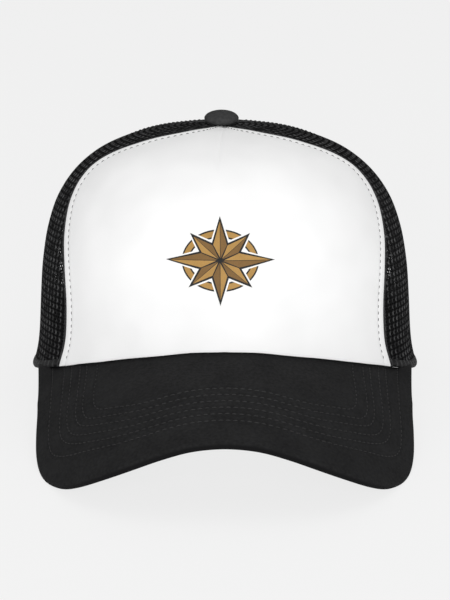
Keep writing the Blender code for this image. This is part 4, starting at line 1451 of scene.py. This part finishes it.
# %% [markdown]
# ## Floor, lights and camera
# The picture is a studio shot on a pale sweep, lit softly from the camera's side, so the white
# front glows and the floor holds only a faint shadow. A wide lamp beside the camera and an even sky
# do that. The camera stands a metre and a half away with a long lens, as the picture does.

# %% Floor
def floor_finish():
    """Pale paper that is lit evenly: part of its light is its own, so that shadows stay faint."""
    material, shader = start_finish("pale sweep", Specular_IOR_Level=0.0, Emission_Strength=0.79)
    tree = material.node_tree
    paper = grain(tree, 1.5 * MM, 2.0)
    shader.inputs["Emission Color"].default_value = (1.0, 1.0, 1.0, 1.0)
    colour = paper.blend((0.12, 0.12, 0.12), (0.124, 0.124, 0.124))
    return dress(material, shader, colour, paper * 0.1 + 0.85, paper, 0.01 * MM, 0.1)


floor_mesh = bpy.data.meshes.new("floor")
floor_reach = 8.0
floor_mesh.from_pydata([(-floor_reach, -floor_reach, 0.0), (floor_reach, -floor_reach, 0.0),
                        (floor_reach, floor_reach, 0.0), (-floor_reach, floor_reach, 0.0)], [], [(0, 1, 2, 3)])
floor_mesh.materials.append(floor_finish())
floor = bpy.data.objects.new("floor", floor_mesh)
bpy.context.collection.objects.link(floor)


# %% Lights
def soft_lamp(name, place, target, size, watts):
    """A square area lamp at a place, turned to face a target."""
    light = bpy.data.lights.new(name, "AREA")
    light.shape = "SQUARE"
    light.size = size
    light.energy = watts
    lamp = bpy.data.objects.new(name, light)
    bpy.context.collection.objects.link(lamp)
    lamp.location = place
    aim = np.array(target) - np.array(place)
    level = math.hypot(aim[0], aim[1])
    lamp.rotation_euler = (math.atan2(level, -aim[2]), 0.0, math.atan2(-aim[0], aim[1]))
    return lamp


soft_lamp("front_softbox", (0.0, -1.9, 0.60), (0.0, 0.0, 0.07), 0.9, 22.5)
soft_lamp("top_softbox", (0.1, 0.1, 1.7), (0.0, 0.0, 0.05), 1.4, 6.5)
world = bpy.data.worlds.new("studio")
world.use_nodes = True
world.node_tree.nodes["Background"].inputs["Color"].default_value = (1.0, 1.0, 1.0, 1.0)
world.node_tree.nodes["Background"].inputs["Strength"].default_value = 0.46
bpy.context.scene.world = world
bpy.context.scene.view_settings.view_transform = "Standard"

# %% Camera
CAMERA_PLACE = (0.0, -1.3944, 0.4825)
CAMERA_ELEVATION = math.radians(17.13)
camera_data = bpy.data.cameras.new("camera")
camera_data.sensor_fit = "VERTICAL"
camera_data.sensor_height = 24.0
camera_data.lens = 129.45
camera = bpy.data.objects.new("camera", camera_data)
camera.location = CAMERA_PLACE
camera.rotation_euler = (0.5 * math.pi - CAMERA_ELEVATION, 0.0, 0.0)
bpy.context.collection.objects.link(camera)
bpy.context.scene.camera = camera
